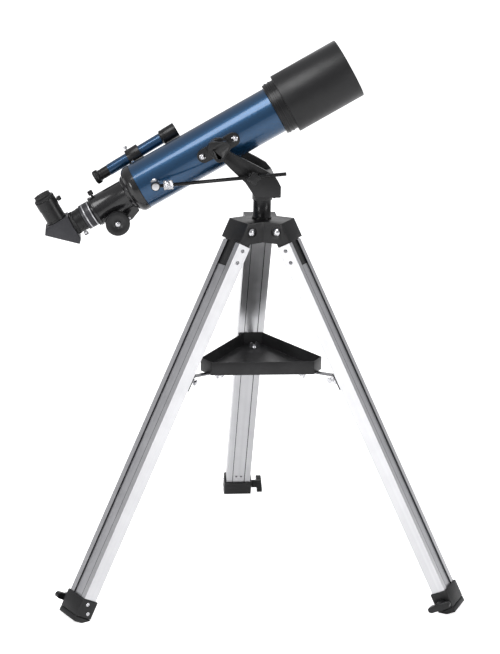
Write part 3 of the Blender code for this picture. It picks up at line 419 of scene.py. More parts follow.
def turned(name, rings, place, steps=64, bored=False, sharp=35):
    """A piece turned on a lathe: rings are (height, radius), drawn round Z and then put in place."""
    bpy.ops.object.select_all(action="DESELECT")
    bpy.ops.mesh.primitive_circle_add(vertices=steps, radius=rings[0][1], location=(0, 0, 0),
                                      fill_type="NOTHING" if bored else "NGON")
    piece = bpy.context.object
    piece.name = name
    bpy.ops.object.mode_set(mode="EDIT")
    bpy.ops.mesh.select_mode(type="VERT")
    bpy.ops.mesh.select_all(action="SELECT")
    bpy.ops.transform.translate(value=(0, 0, rings[0][0]))
    for (low, before), (high, after) in zip(rings, rings[1:]):
        if bored:
            bpy.ops.mesh.extrude_edges_move(TRANSFORM_OT_translate={"value": (0, 0, high - low)})
        else:
            bpy.ops.mesh.extrude_region_move(TRANSFORM_OT_translate={"value": (0, 0, high - low)})
        if after != before:
            size = after / before
            bpy.ops.transform.resize(value=(size, size, 1), center_override=(0, 0, high))
    if bored:
        bpy.ops.mesh.select_all(action="DESELECT")
        bpy.ops.mesh.select_non_manifold(extend=False, use_wire=False, use_multi_face=False,
                                         use_non_contiguous=False, use_verts=False)
        bpy.ops.mesh.bridge_edge_loops()
    bpy.ops.mesh.select_all(action="SELECT")
    bpy.ops.mesh.normals_make_consistent(inside=False)
    bpy.ops.object.mode_set(mode="OBJECT")
    bpy.ops.object.shade_smooth_by_angle(angle=radians(sharp))
    seat(piece, place)
    return piece


def seat(piece, place):
    """Puts a piece where it belongs, with its place in its mesh."""
    select_only(piece)
    piece.matrix_world = place
    bpy.ops.object.transform_apply(location=True, rotation=True, scale=True)


def pick_faces(piece, wanted):
    """In edit mode, selects the faces for which wanted(face) is true."""
    select_only(piece)
    bpy.ops.object.mode_set(mode="EDIT")
    bpy.ops.mesh.select_mode(type="FACE")
    bpy.ops.mesh.select_all(action="DESELECT")
    bpy.ops.object.mode_set(mode="OBJECT")
    for face in piece.data.polygons:
        face.select = wanted(face)
    bpy.ops.object.mode_set(mode="EDIT")


def copied(piece, name):
    twin = piece.copy()
    twin.data = piece.data.copy()
    twin.name = name
    bpy.context.scene.collection.objects.link(twin)
    return twin


def pan_screw(name, radius, height):
    """A pan-head screw in a washer, standing on Z 0, with a round recess sunk in its head."""
    piece = turned(name, [(-0.0006, radius * 1.25), (0.0006, radius * 1.3), (0.0008, radius * 1.05),
                          (0.0009, radius), (height * 0.75, radius * 0.92), (height, radius * 0.6)],
                   Matrix.Identity(4), steps=24)
    top = height - 0.0002
    pick_faces(piece, lambda face: face.center.z > top and face.normal.z > 0.9 and len(face.vertices) > 8)
    bpy.ops.mesh.inset(thickness=radius * 0.22)
    bpy.ops.mesh.inset(thickness=radius * 0.06, depth=-height * 0.4)
    bpy.ops.object.mode_set(mode="OBJECT")
    return piece


def facing(at, out):
    """A place at a point, with Z along out."""
    return Matrix.Translation(at) @ out.to_track_quat("Z", "Y").to_matrix().to_4x4()


screw_model = pan_screw("screw_model", 0.0026, 0.0018)
WALL = 0.0273       # outer face of a collar from the leg's middle
for side in SIDES:
    spot = leg_frame[side]
    leg_side = spot.to_3x3() @ Vector((0, 1, 0))
    for number, (depth, down) in enumerate(((0.004, 0.697), (-0.004, 0.7125))):
        screw = copied(screw_model, "collar_screw")
        seat(screw, facing(spot @ Vector((depth, WALL, -down)), leg_side))
        dress(screw, f"collar_screw_{side}_{number}", chrome, "chrome", f"leg_{side}")

# ---- clamp knobs ----
# Black moulded T-bar thumb knobs; a threaded stem goes through the collar and presses on the slide.
knob_plastic = grained("knob_plastic", (0.008, 0.008, 0.0085), (0.018, 0.018, 0.019), 0.4, 0.32, 1500.0,
                       0.00008)
for side in SIDES:
    dress(refined(f"clamp_knob_{side}", 0.0009), f"clamp_knob_shape_{side}", knob_plastic, "black_plastic",
          f"clamp_knob_{side}", f"clamp_knob_{side}")

# ---- hub and hinge blocks ----
# A die-cast hub with a black powder coat, forked round each leg's moulded block.
# The coat is slightly uneven, and it is rubbed lighter where the legs are handled.
powder_coat = grained("powder_coat", (0.010, 0.010, 0.0105), (0.024, 0.024, 0.025), 0.5, 0.34, 700.0,
                      0.00016, 0.15)
dress(refined("hub", 0.0007), "hub_casting", powder_coat, "black_casting", "stand", "hub")
for side in SIDES:
    dress(refined(f"hinge_block_{side}", 0.0005), f"hinge_block_shape_{side}", collar_plastic,
          "black_plastic",
          f"leg_{side}", f"hinge_block_{side}")

# ---- hinge bolts ----
# Chromed dome-head bolts with a dome nut on the other end, set in a pressed ring on each ear.
for side in SIDES:
    dress(refined(f"hinge_bolt_{side}"), f"hinge_bolt_dome_{side}", chrome, "chrome", "stand",
          f"hinge_bolt_{side}")

# ---- leg-top screws ----
# Two screws through each flank of the channel hold the hinge block's tongue in it.
TONGUE_SCREWS = (0.036, 0.058)
for side in SIDES:
    spot = leg_frame[side]
    for hand in (1, -1):
        leg_side = spot.to_3x3() @ Vector((0, hand, 0))
        for number, down in enumerate(TONGUE_SCREWS):
            screw = copied(screw_model, "tongue_screw")
            seat(screw, facing(spot @ Vector((0, hand * 0.024, -down)), leg_side))
            hand_name = "ccw" if hand > 0 else "cw"
            dress(screw, f"tongue_screw_{side}_{hand_name}_{number}", zinc, "chrome", f"leg_{side}")

# ---- stop screws of the rear leg ----
# Two small screws above the collar on the leg's inner face, which stop the slide from pulling out.
stop_model = pan_screw("stop_model", 0.0017, 0.0011)
stop_face = leg_frame["rear"].to_3x3() @ Vector((-1, 0, 0))
for number, across in enumerate((-0.005, 0.005)):
    screw = copied(stop_model, "stop_screw")
    seat(screw, facing(leg_frame["rear"] @ Vector((-0.0126, across, -0.672)), stop_face))
    dress(screw, f"stop_screw_{number}", zinc, "chrome", "leg_rear")
bpy.data.objects.remove(stop_model)

# ---- spreader tray ----
# Folded steel sheet with a satin black coat, its rim turned up all round.
# It lies on three aluminium bars, which are pinned to a plate on each leg.
tray_coat = grained("tray_coat", (0.012, 0.012, 0.0125), (0.028, 0.028, 0.03), 0.5, 0.36, 900.0, 0.0001,
                    0.1)
dress(refined("tray", 0.0004), "tray_sheet", tray_coat, "black_casting", "spreader", "tray")
PLATE_THICK, PLATE_WIDE, PLATE_TALL = 0.0029, 0.0462, 0.031
PLATE_IN = 0.01427       # of a plate's middle from the leg's middle
for side in SIDES:
    spoke_side = axis_of(f"fold_{side}")
    spoke_axes = frame_from(Vector(), UP.cross(spoke_side), spoke_side.cross(UP).cross(spoke_side))
    bar_metal = bare_metal(f"drawn_bar_{side}", (0.2, 0.2, 0.21), (0.12, 0.12, 0.125), 0.35, 800.0, 0.00006,
                           spoke_axes.to_3x3())
    coat_node(f"tray_bar_{side}", bar_metal, "aluminium")
    plate_body = "leg_rear" if side == "rear" else "spreader"
    plate_low, plate_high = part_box(f"bracket_plate_{side}")
    plate_at = leg_frame[side].inverted() @ ((plate_low + plate_high) / 2)
    bpy.ops.object.select_all(action="DESELECT")
    bpy.ops.mesh.primitive_cube_add(size=1, location=(0, 0, 0))
    bracket = bpy.context.object
    bpy.ops.object.mode_set(mode="EDIT")
    bpy.ops.mesh.select_all(action="SELECT")
    bpy.ops.transform.resize(value=(PLATE_THICK, PLATE_WIDE, PLATE_TALL))
    bpy.ops.mesh.bevel(offset=0.0008, segments=2)
    bpy.ops.object.mode_set(mode="OBJECT")
    pick_faces(bracket, lambda face: face.normal.x < -0.9 and face.area > 0.0005)
    bpy.ops.mesh.inset(thickness=0.004)
    bpy.ops.mesh.inset(thickness=0.0006, depth=-0.0006)
    bpy.ops.object.mode_set(mode="OBJECT")
    bpy.ops.object.shade_smooth_by_angle(angle=radians(35))
    seat(bracket, leg_frame[side] @ Matrix.Translation((-PLATE_IN, 0, plate_at.z)))
    dress(bracket, f"bracket_{side}", powder_coat, "black_casting", plate_body, f"bracket_plate_{side}")

# ---- wing nuts ----
# Chromed pressed wing nuts: one on each bar end of the tray, above or below the sheet,
# and one below the pin on each leg's plate.
nut_core = turned("wing_nut_model", [(0.0, 0.0044), (0.0006, 0.0048), (0.0035, 0.0042), (0.0052, 0.0032),
                                     (0.0056, 0.0026), (0.0075, 0.0024), (0.0080, 0.0018)],
                  Matrix.Identity(4), steps=20)
wings = []
for hand in (1, -1):
    bpy.ops.object.select_all(action="DESELECT")
    bpy.ops.mesh.primitive_circle_add(vertices=20, radius=0.0046, fill_type="NGON", location=(0, 0, 0))
    wing = bpy.context.object
    bpy.ops.object.mode_set(mode="EDIT")
    bpy.ops.mesh.select_all(action="SELECT")
    bpy.ops.transform.resize(value=(0.8, 1.25, 1))
    bpy.ops.mesh.extrude_region_move(TRANSFORM_OT_translate={"value": (0, 0, 0.0013)})
    bpy.ops.mesh.inset(thickness=0.0009, depth=0.0002)
    bpy.ops.mesh.select_all(action="SELECT")
    bpy.ops.mesh.normals_make_consistent(inside=False)
    bpy.ops.object.mode_set(mode="OBJECT")
    lean = Matrix.Rotation(hand * radians(-32), 4, "Y")
    seat(wing, Matrix.Translation((hand * 0.0062, 0.0006, 0.0068)) @ lean @ Matrix.Rotation(pi / 2, 4, "X"))
    wings.append(wing)
select_only(nut_core)
for wing in wings:
    wing.select_set(True)
bpy.context.view_layer.objects.active = nut_core
bpy.ops.object.join()
bpy.ops.object.shade_smooth_by_angle(angle=radians(35))
wing_nut_model = nut_core

hub_axis = Vector(joint["azimuth"]["pos_m"])
tray_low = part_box("tray")[0]
TRAY_SHEET = 0.0013
BOLT_CIRCLE = 0.084      # of the bolts that hold the bars
PIN_CIRCLE = 0.1425      # of the pins at the bars' outer ends
NUT_PLACES = {"rear": (1, 20), "right": (-1, 65), "left": (-1, -35)}
for side in SIDES:
    away = leg_frame[side].to_3x3() @ Vector((1, 0, 0))
    away = Vector((away.x, away.y, 0)).normalized()
    over, turn = NUT_PLACES[side]
    spot = Vector((hub_axis.x, hub_axis.y, 0)) + away * BOLT_CIRCLE
    bar_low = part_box(f"tray_bar_{side}")[0]
    spot.z = tray_low.z + TRAY_SHEET if over > 0 else tray_low.z - 0.0028
    nut = copied(wing_nut_model, "tray_nut")
    seat(nut, facing(spot, UP * over) @ Matrix.Rotation(radians(turn), 4, "Z"))
    dress(nut, f"tray_wing_nut_{side}", chrome, "chrome", "spreader")
    if over < 0:
        tip = turned("tray_bolt_tip", [(0.0, 0.0042), (0.0012, 0.0040), (0.0018, 0.0026), (0.0021, 0.0012)],
                     facing(Vector((spot.x, spot.y, tray_low.z + TRAY_SHEET)), UP), steps=20)
        dress(tip, f"tray_bolt_head_{side}", chrome, "chrome", "spreader")
    nut = copied(wing_nut_model, "bracket_nut")
    pin_spot = Vector((hub_axis.x, hub_axis.y, bar_low.z - 0.0003)) + away * PIN_CIRCLE
    seat(nut, facing(pin_spot, -UP) @ Matrix.Rotation(radians(20), 4, "Z"))
    dress(nut, f"bracket_wing_nut_{side}", chrome, "chrome", "leg_rear" if side == "rear" else "spreader")
bpy.data.objects.remove(wing_nut_model)

# ---- azimuth post and its lock screw ----
# A turned steel post, black oxide finished, stands in the hub; the yoke's sole turns on its neck
# and a small knurled screw locks it.
black_oxide = grained("black_oxide", (0.012, 0.012, 0.0125), (0.04, 0.04, 0.042), 0.5, 0.24, 1400.0,
                      0.00005, 0.5)
dress(refined("azimuth_post"), "post", black_oxide, "black_plastic", "stand", "azimuth_post")
lock_out = axis_of("azimuth_lock")
lock_at = Vector(joint["azimuth_lock"]["pos_m"])
lock_at = lock_at - lock_out * (lock_at - hub_axis).dot(lock_out)


def knurled(piece, out, low, high, radius, depth):
    """Ribs on a turned piece's rim, between low and high along out, further than radius from its axis."""
    axis, at = out
    def on_rim(face):
        along = (face.center - at).dot(axis)
        off = (face.center - at - axis * along).length
        return low < along < high and off > radius and abs(face.normal.dot(axis)) < 0.2
    pick_faces(piece, on_rim)
    bpy.ops.mesh.inset(thickness=depth * 0.6, depth=-depth, use_individual=True, use_relative_offset=False)
    bpy.ops.object.mode_set(mode="OBJECT")


lock = turned("lock", [(0.0131, 0.0024), (0.0186, 0.0024), (0.0187, 0.0044), (0.0193, 0.005), (0.0225,
                                                                                               0.005),
                       (0.0231, 0.0044), (0.0232, 0.0015)], facing(lock_at, lock_out), steps=28)
knurled(lock, (lock_out, lock_at), 0.0190, 0.0228, 0.0046, 0.0004)
dress(lock, "azimuth_lock_head", knob_plastic, "black_plastic", "azimuth_lock", "azimuth_lock_screw")

# ---- yoke ----
# One die casting with two swept arms, coated black; the tube's axles turn in its ends.
dress(refined("yoke", 0.0012), "yoke_casting", powder_coat, "black_casting", "yoke", "yoke")

# ---- saddles ----
# A cast plate on each flank of the tube, screwed to it from inside, with the altitude axle on it.
# Two chromed dome nuts close its screws.
pivot = Vector(joint["altitude"]["pos_m"])
tube_x = -axis_of("focus")
tube_z = axis_of("focus_lock_turn")
tube_frame = frame_from(pivot, tube_x, tube_z)
ALONG_TUBE = Matrix.Rotation(pi / 2, 4, "Y")     # brings a turned piece's Z onto the tube's axis
for side, hand in (("near", -1), ("far", 1)):
    dress(refined(f"saddle_{side}", 0.0006), f"saddle_plate_{side}", powder_coat, "black_casting", "tube",
          f"saddle_{side}")
    for end in (1, -1):
        at = tube_frame @ Vector((end * 0.031, hand * 0.0482, 0))
        dome = turned("dome", [(0.0, 0.0052), (0.0006, 0.0052), (0.0009, 0.0046), (0.0026, 0.0044), (0.0036,
                                                                                                     0.0041),
                               (0.0047, 0.0032), (0.0054, 0.0020), (0.0057, 0.0008)],
                      facing(at, Vector((0, hand, 0))), steps=28)
        end_name = "front" if end > 0 else "back"
        dress(dome, f"saddle_dome_nut_{side}_{end_name}", chrome, "chrome", "tube")

# ---- altitude knobs ----
# Three-lobed moulded knobs on the axles' threads; they clamp the arms on the saddles.
# The outer face has a sunk panel with a raised lip.
for side, hand in (("near", -1), ("far", 1)):
    knob = refined(f"altitude_knob_{side}", 0.0008)
    widest = max(face.area for face in knob.data.polygons if face.normal.y * hand > 0.9)
    pick_faces(knob, lambda face: face.normal.y * hand > 0.9 and face.area > widest * 0.99)
    bpy.ops.mesh.inset(thickness=0.0035)
    bpy.ops.mesh.inset(thickness=0.0008, depth=-0.0016)
    bpy.ops.object.mode_set(mode="OBJECT")
    dress(knob, f"altitude_knob_shape_{side}", knob_plastic, "black_plastic", f"altitude_knob_{side}",
          f"altitude_knob_{side}")

# ---- slow-motion rod with its clevis, nut, block and star knob ----
# A black steel rod is pinned to a chromed post on the tube and slides through a block on the near arm.
# A knurled chromed nut gives the fine movement, and the star knob locks the rod in the block.
dress(refined("slow_motion_rod"), "rod", black_oxide, "black_plastic", "rod", "slow_motion_rod")
dress(refined("rod_clevis"), "clevis_post", chrome, "chrome", "tube", "rod_clevis")
dress(refined("swivel_block", 0.0005), "swivel_block_shape", powder_coat, "black_plastic", "swivel",
      "swivel_block")
dress(refined("star_knob", 0.0007), "star_knob_shape", knob_plastic, "black_plastic", "star_knob",
      "star_knob")
rod_at = Vector(joint["rod_swing"]["pos_m"])
rod_x = axis_of("fine_adjust_turn")
nut = turned("nut", [(0.013, 0.0035), (0.013, 0.0068), (0.0138, 0.0078), (0.0195, 0.0078), (0.0200, 0.0070),
                     (0.0208, 0.0070), (0.0213, 0.0078), (0.0290, 0.0078), (0.030, 0.0068),
                     (0.030, 0.0035)],
             facing(rod_at, rod_x), steps=40, bored=True)
knurled(nut, (rod_x, rod_at), 0.0140, 0.0195, 0.0072, 0.0004)
knurled(nut, (rod_x, rod_at), 0.0214, 0.0290, 0.0072, 0.0004)
dress(nut, "fine_adjust_nut_shape", chrome, "chrome", "fine_adjust_nut", "fine_adjust_nut")

# ---- main tube ----
# Rolled aluminium tube with blue metallic lacquer under a clear coat, its ends turned square.
lacquer = bpy.data.materials.new("blue_metallic_lacquer")
lacquer.use_nodes = True
lacquer_tree = lacquer.node_tree
lacquer_place = add_node(lacquer_tree, "ShaderNodeTexCoord", {}, {}, {})
flakes = add_node(lacquer_tree, "ShaderNodeTexVoronoi", {}, {"Scale": 1900.0},
                  {"Vector": lacquer_place.outputs["Object"]})
flake_light = add_node(lacquer_tree, "ShaderNodeSeparateColor", {}, {}, {"Color": flakes.outputs["Color"]})
lacquer_wear = add_node(lacquer_tree, "ShaderNodeGroup", {"node_tree": handled},
                        {"Colour": (0.006, 0.048, 0.118, 1), "Worn": (0.007, 0.052, 0.126, 1), "Share": 0.2,
                         "Roughness": 0.3, "Smear": 0.04}, {"Vector": lacquer_place.outputs["Object"]})
flake_gain = add_node(lacquer_tree, "ShaderNodeMapRange", {}, {"To Min": 0.93, "To Max": 1.1},
                      {"Value": flake_light.outputs["Red"]})
flaked = add_node(lacquer_tree, "ShaderNodeVectorMath", {"operation": "SCALE"}, {},
                  {0: lacquer_wear.outputs["Colour"], "Scale": flake_gain.outputs["Result"]})
orange_peel = add_node(lacquer_tree, "ShaderNodeGroup", {"node_tree": moulded_grain}, {"Size": 260.0},
                       {"Vector": lacquer_place.outputs["Object"]})
peel_bump = add_node(lacquer_tree, "ShaderNodeBump", {}, {"Strength": 0.1, "Distance": 0.00003},
                     {"Height": orange_peel.outputs["Height"]})
lacquer_shader = lacquer_tree.nodes["Principled BSDF"]
lacquer_shader.inputs["Metallic"].default_value = 0.72
lacquer_shader.inputs["Coat Weight"].default_value = 0.8
lacquer_shader.inputs["Coat Roughness"].default_value = 0.1
lacquer_tree.links.new(flaked.outputs[0], lacquer_shader.inputs["Base Color"])
lacquer_tree.links.new(lacquer_wear.outputs["Roughness"], lacquer_shader.inputs["Roughness"])
lacquer_tree.links.new(peel_bump.outputs["Normal"], lacquer_shader.inputs["Normal"])

tube_place = tube_frame @ ALONG_TUBE
main_tube = turned("main_tube_skin", [(-0.152, 0.0398), (-0.152, 0.0406), (-0.1516, 0.041), (0.1136, 0.041),
                                      (0.114, 0.0406), (0.114, 0.0398)], tube_place, steps=128, bored=True)
dress(main_tube, "main_tube_skin", lacquer, "blue_lacquer", "tube", "main_tube")

# ---- objective cell ----
# Black anodised ring, turned with two ribs for the hand, that screws on the tube and carries the lens.
anodised = grained("black_anodised", (0.010, 0.010, 0.0105), (0.02, 0.02, 0.021), 0.3, 0.3, 1800.0, 0.00004,
                   0.2)
cell = turned("cell", [(0.102, 0.0346), (0.102, 0.0394), (0.1143, 0.0394), (0.1143, 0.0450), (0.1148,
                                                                                              0.0458),
                       (0.1180, 0.0460), (0.1184, 0.0470), (0.1216, 0.0470), (0.1220, 0.0460),
                       (0.1250, 0.0460),
                       (0.1254, 0.0470), (0.1286, 0.0470), (0.1290, 0.0462), (0.1498, 0.0468),
                       (0.150, 0.0466),
                       (0.150, 0.0369), (0.136, 0.0369), (0.136, 0.0346)], tube_place, steps=128,
              bored=True)
dress(cell, "objective_cell_ring", anodised, "matte_black", "tube", "objective_cell")
retainer = turned("retainer", [(0.1458, 0.0340), (0.1458, 0.0366), (0.1494, 0.0366), (0.1498, 0.0362),
                               (0.1498, 0.0350), (0.1470, 0.0338)], tube_place, steps=96, bored=True)
dress(retainer, "lens_retaining_ring", anodised, "matte_black", "tube")

# ---- objective lens ----
# A coated doublet: the clear front glass is domed and its coating tints it faintly.
lens_glass = bpy.data.materials.new("coated_glass")
lens_glass.use_nodes = True
glass_tree = lens_glass.node_tree
glass_place = add_node(glass_tree, "ShaderNodeTexCoord", {}, {}, {})
glass_film = add_node(glass_tree, "ShaderNodeTexNoise", {}, {"Scale": 14.0},
                      {"Vector": glass_place.outputs["Object"]})
glass_tint = add_node(glass_tree, "ShaderNodeValToRGB", {}, {}, {"Fac": glass_film.outputs["Fac"]})
glass_tint.color_ramp.elements[0].color = (0.62, 0.86, 0.88, 1)
glass_tint.color_ramp.elements[1].color = (0.72, 0.80, 0.95, 1)
glass_shader = glass_tree.nodes["Principled BSDF"]
glass_shader.inputs["Transmission Weight"].default_value = 1.0
glass_shader.inputs["Roughness"].default_value = 0.02
glass_shader.inputs["IOR"].default_value = 1.52
glass_tree.links.new(glass_tint.outputs["Color"], glass_shader.inputs["Base Color"])
lens = turned("lens", [(0.1364, 0.0362), (0.1366, 0.0364), (0.1453, 0.0364), (0.1466, 0.0320), (0.1476,
                                                                                                0.0250),
                       (0.1482, 0.0170), (0.1485, 0.0090), (0.1486, 0.0020)], tube_place, steps=96)
dress(lens, "objective_glass", lens_glass, "glass", "tube", "objective_lens")

# ---- dew shield ----
# A spun aluminium hood with a satin black coat, pushed on the cell; its mouth is rolled
# and its inside is matt black with shallow light traps.
shield_coat = grained("shield_coat", (0.010, 0.010, 0.0105), (0.017, 0.017, 0.018), 0.4, 0.38, 1300.0,
                      0.00006, 0.1)
hood_inner = [(0.2590, 0.0512), (0.2560, 0.0512)]
for trap in range(6):
    trap_at = 0.246 - trap * 0.014
    hood_inner += [(trap_at, 0.0514), (trap_at - 0.0005, 0.0508), (trap_at - 0.0015, 0.0508),
                   (trap_at - 0.0020, 0.0514)]
hood_inner += [(0.139, 0.0514), (0.139, 0.0474), (0.135, 0.0474)]
shield = turned("shield", [(0.135, 0.0520), (0.1358, 0.053), (0.1500, 0.053), (0.2590, 0.053), (0.2598,
                                                                                                0.0526),
                           (0.260, 0.0520), (0.2597, 0.0514)] + hood_inner, tube_place, steps=128,
                bored=True)
dress(shield, "dew_shield_hood", shield_coat, "matte_black", "tube", "dew_shield")

# ---- rear cell ----
# A gloss black moulded end cell, plugged in the tube and rounded down to the focuser.
gloss_black = grained("gloss_black", (0.007, 0.007, 0.0075), (0.014, 0.014, 0.015), 0.3, 0.22, 900.0,
                      0.00003, 0.0, 0.4)
rear_rings = [(-0.140, 0.0264), (-0.140, 0.0394), (-0.1523, 0.0394), (-0.1523, 0.0411), (-0.1528, 0.0415),
              (-0.1600, 0.0415), (-0.1622, 0.0411), (-0.1645, 0.0401), (-0.1665, 0.0386), (-0.1685, 0.0366),
              (-0.1700, 0.0346), (-0.1709, 0.0328), (-0.171, 0.0264)]
rear = turned("rear", rear_rings, tube_place, steps=128, bored=True)
dress(rear, "rear_cell_shape", gloss_black, "black_plastic", "tube", "rear_cell")

# ---- focuser ----
# A gloss black die casting with the pinion housing under it, screwed to the rear cell.
dress(refined("focuser_body", 0.0006), "focuser_casting", gloss_black, "black_plastic", "tube",
      "focuser_body")
HOUSING_FACE = 0.0142
for hand in (-1, 1):
    for number, (x, z) in enumerate(((-0.1935, -0.0365), (-0.2290, -0.0290))):
        screw = copied(screw_model, "housing_screw")
        seat(screw, facing(tube_frame @ Vector((x, hand * (HOUSING_FACE - 0.0002), z)), Vector((0, hand,
                                                                                                0)))
             @ Matrix.Scale(0.62, 4))
        hand_name = "near" if hand < 0 else "far"
        dress(screw, f"housing_screw_{hand_name}_{number}", chrome, "chrome", "tube")

# ---- drawtube ----
# A dark grey tube with its rack under it; two bright turned bands show where it leaves the focuser.
satin_grey = grained("satin_grey", (0.028, 0.028, 0.032), (0.05, 0.05, 0.055), 0.4, 0.34, 1500.0, 0.00006,
                     0.2)
dress(refined("drawtube", 0.0003), "drawtube_shape", satin_grey, "dark_grey_plastic", "drawtube",
      "drawtube")
band_metal = bare_metal("satin_band", (0.6, 0.6, 0.62), (0.5, 0.5, 0.52), 0.3, 900.0, 0.00003,
                        tube_frame.to_3x3())
for number, at in enumerate((-0.2462, -0.2572)):
    band = turned("band", [(at, 0.0222), (at, 0.02265), (at + 0.0003, 0.0229), (at + 0.0017, 0.0229),
                           (at + 0.0020, 0.02265), (at + 0.0020, 0.0222)], tube_place, steps=96, bored=True)
    dress(band, f"drawtube_band_{number}", band_metal, "chrome", "drawtube")

# ---- focus knobs on their shaft ----
# Black moulded discs with a ribbed rim, pressed on a steel shaft; a chromed screw closes each.
focus_at = Vector(joint["focus_shaft_turn"]["pos_m"])
near_out = Vector((0, -1, 0))
focus_rings = [(-0.0390, 0.0060), (-0.0389, 0.0190), (-0.0384, 0.0203), (-0.0372, 0.0210),
               (-0.0288, 0.0210),
               (-0.0275, 0.0203), (-0.0270, 0.0190), (-0.0269, 0.0078), (-0.0146, 0.0070),
               (-0.0145, 0.0030),
               (-0.0031, 0.0030), (-0.0030, 0.0060)]
focus = turned("focus", focus_rings + [(-z, r) for z, r in reversed(focus_rings)],
               facing(focus_at, near_out), steps=72)
for low in (-0.0373, 0.0287):
    knurled(focus, (near_out, focus_at), low, low + 0.0086, 0.0206, 0.0007)
for hand in (1, -1):
    pick_faces(focus, lambda face: face.normal.y * hand > 0.95 and abs(face.center.y - focus_at.y) > 0.0385
               and len(face.vertices) > 8)
    bpy.ops.mesh.inset(thickness=0.0004, depth=-0.0008)
    bpy.ops.object.mode_set(mode="OBJECT")
dress(focus, "focus_knobs", knob_plastic, "black_plastic", "focus_shaft", "focus_shaft")
for hand in (-1, 1):
    screw = copied(screw_model, "focus_screw")
    seat(screw, facing(focus_at + Vector((0, hand * 0.0384, 0)), Vector((0, hand, 0))) @ Matrix.Scale(1.25,
                                                                                                      4))
    dress(screw, f"focus_knob_screw_{'near' if hand < 0 else 'far'}", chrome, "chrome", "focus_shaft")
bpy.data.objects.remove(screw_model)

# ---- thumb screws of the focuser, adapter and holder ----
# Small turned screws with knurled heads; each presses on what slides inside its collar.
THUMB_SCREWS = (
    ("focus_lock_screw", "focus_lock", "focus_lock_turn", 0.0200, 0.0285, 0.0365, 0.0045, knob_plastic,
     "black_plastic"),
    ("adapter_thumb_screw", "adapter_screw", "adapter_screw_turn", 0.0163, 0.0215, 0.0285, 0.0036, chrome,
     "chrome"),
    ("holder_thumb_screw", "holder_screw", "holder_screw_turn", 0.0163, 0.0190, 0.0260, 0.0042,
     knob_plastic,
     "black_plastic"))
for node, body, turn_name, start, head, end, radius, look, slot in THUMB_SCREWS:
    out = axis_of(turn_name)
    at = Vector(joint[turn_name]["pos_m"])
    middle = pivot + tube_x * (at - pivot).dot(tube_x)
    at = at - out * (at - middle).dot(out)
    screw = turned(node, [(start, 0.0021), (head, 0.0021), (head + 0.0001, radius * 0.8), (head + 0.0007,
                                                                                           radius),
                          (end - 0.0008, radius), (end - 0.0001, radius * 0.85), (end, radius * 0.4)],
                   facing(at, out), steps=32)
    knurled(screw, (out, at), head + 0.0006, end - 0.0006, radius * 0.95, 0.0003)
    dress(screw, f"{node}_head", look, slot, body, node)

# ---- eyepiece adapter ----
# A short black turned collar on the drawtube's end, with a ribbed grip.
adapter = turned("adapter", [(-0.250, 0.0162), (-0.250, 0.0171), (-0.2623, 0.0171), (-0.2623, 0.0198),
                             (-0.2629, 0.0205),
                             (-0.2680, 0.0205), (-0.2685, 0.0199), (-0.2765, 0.0199), (-0.2770, 0.0205),
                             (-0.2824, 0.0205), (-0.283, 0.0199), (-0.283, 0.0162)], tube_place, steps=72,
                 bored=True)
knurled(adapter, (tube_x, pivot), -0.2824, -0.2770, 0.0200, 0.0004)
dress(adapter, "adapter_collar", anodised, "black_plastic", "drawtube", "eyepiece_adapter")

# ---- star diagonal ----
# Two halves of dark grey satin plastic round a right-angle prism, with a nose that plugs in the adapter.
dress(refined("diagonal_housing", 0.0007), "diagonal_shell", satin_grey, "dark_grey_plastic", "diagonal",
      "diagonal_housing")
coat_node("diagonal_prism", lens_glass, "glass")

# ---- eyepiece holder ----
# A black turned tube standing on the diagonal, with a rim at its mouth and at its foot.
holder_place = tube_frame @ Matrix.Translation((-0.3045, 0, 0))
holder = turned("holder", [(0.0203, 0.0134), (0.0203, 0.0175), (0.0208, 0.0180), (0.0235, 0.0180), (0.0240,
                                                                                                    0.0172),
                           (0.0450, 0.0172), (0.0455, 0.0180), (0.0604, 0.0180), (0.0610, 0.0174),
                           (0.0610, 0.0161),
                           (0.0243, 0.0161), (0.0243, 0.0134)], holder_place, steps=72, bored=True)
dress(holder, "holder_tube", anodised, "black_plastic", "diagonal", "eyepiece_holder")

# ---- eyepiece ----
# A chromed barrel, a ribbed black grip, a folded-up rubber cup for the eye and a small eye lens.
soft_rubber = grained("soft_rubber", (0.017, 0.017, 0.017), (0.03, 0.03, 0.03), 0.5, 0.7, 1300.0, 0.00012)
grip = turned("grip", [(0.0613, 0.0150), (0.0613, 0.0176), (0.0617, 0.0180), (0.0646, 0.0180), (0.0650,
                                                                                                0.0176),
                       (0.0660, 0.0162), (0.0668, 0.0150), (0.0668, 0.0070), (0.0613, 0.0060)],
              holder_place,
              steps=72, bored=True)
knurled(grip, (tube_z, holder_place.translation), 0.0616, 0.0647, 0.0176, 0.0004)
dress(grip, "eyepiece_grip", knob_plastic, "rubber", "eyepiece", "eyepiece")
barrel = turned("barrel", [(0.0330, 0.0135), (0.0330, 0.0156), (0.0334, 0.0158), (0.0612, 0.0158), (0.0612,
                                                                                                    0.0135)],
                holder_place, steps=72, bored=True)
dress(barrel, "eyepiece_barrel", chrome, "chrome", "eyepiece")
cup = turned("cup", [(0.0669, 0.0085), (0.0669, 0.0140), (0.0676, 0.0146), (0.0690, 0.0140), (0.0704,
                                                                                              0.0140),
                     (0.0714, 0.0146), (0.0718, 0.0142), (0.0716, 0.0128), (0.0700, 0.0112),
                     (0.0685, 0.0100)],
             holder_place, steps=72, bored=True)
dress(cup, "eyepiece_rubber_cup", soft_rubber, "rubber", "eyepiece")
eye_lens = turned("eye_lens", [(0.0650, 0.0068), (0.0676, 0.0068), (0.0681, 0.0050), (0.0684, 0.0025)],
                  holder_place,
                  steps=48)
dress(eye_lens, "eyepiece_eye_lens", lens_glass, "glass", "eyepiece")

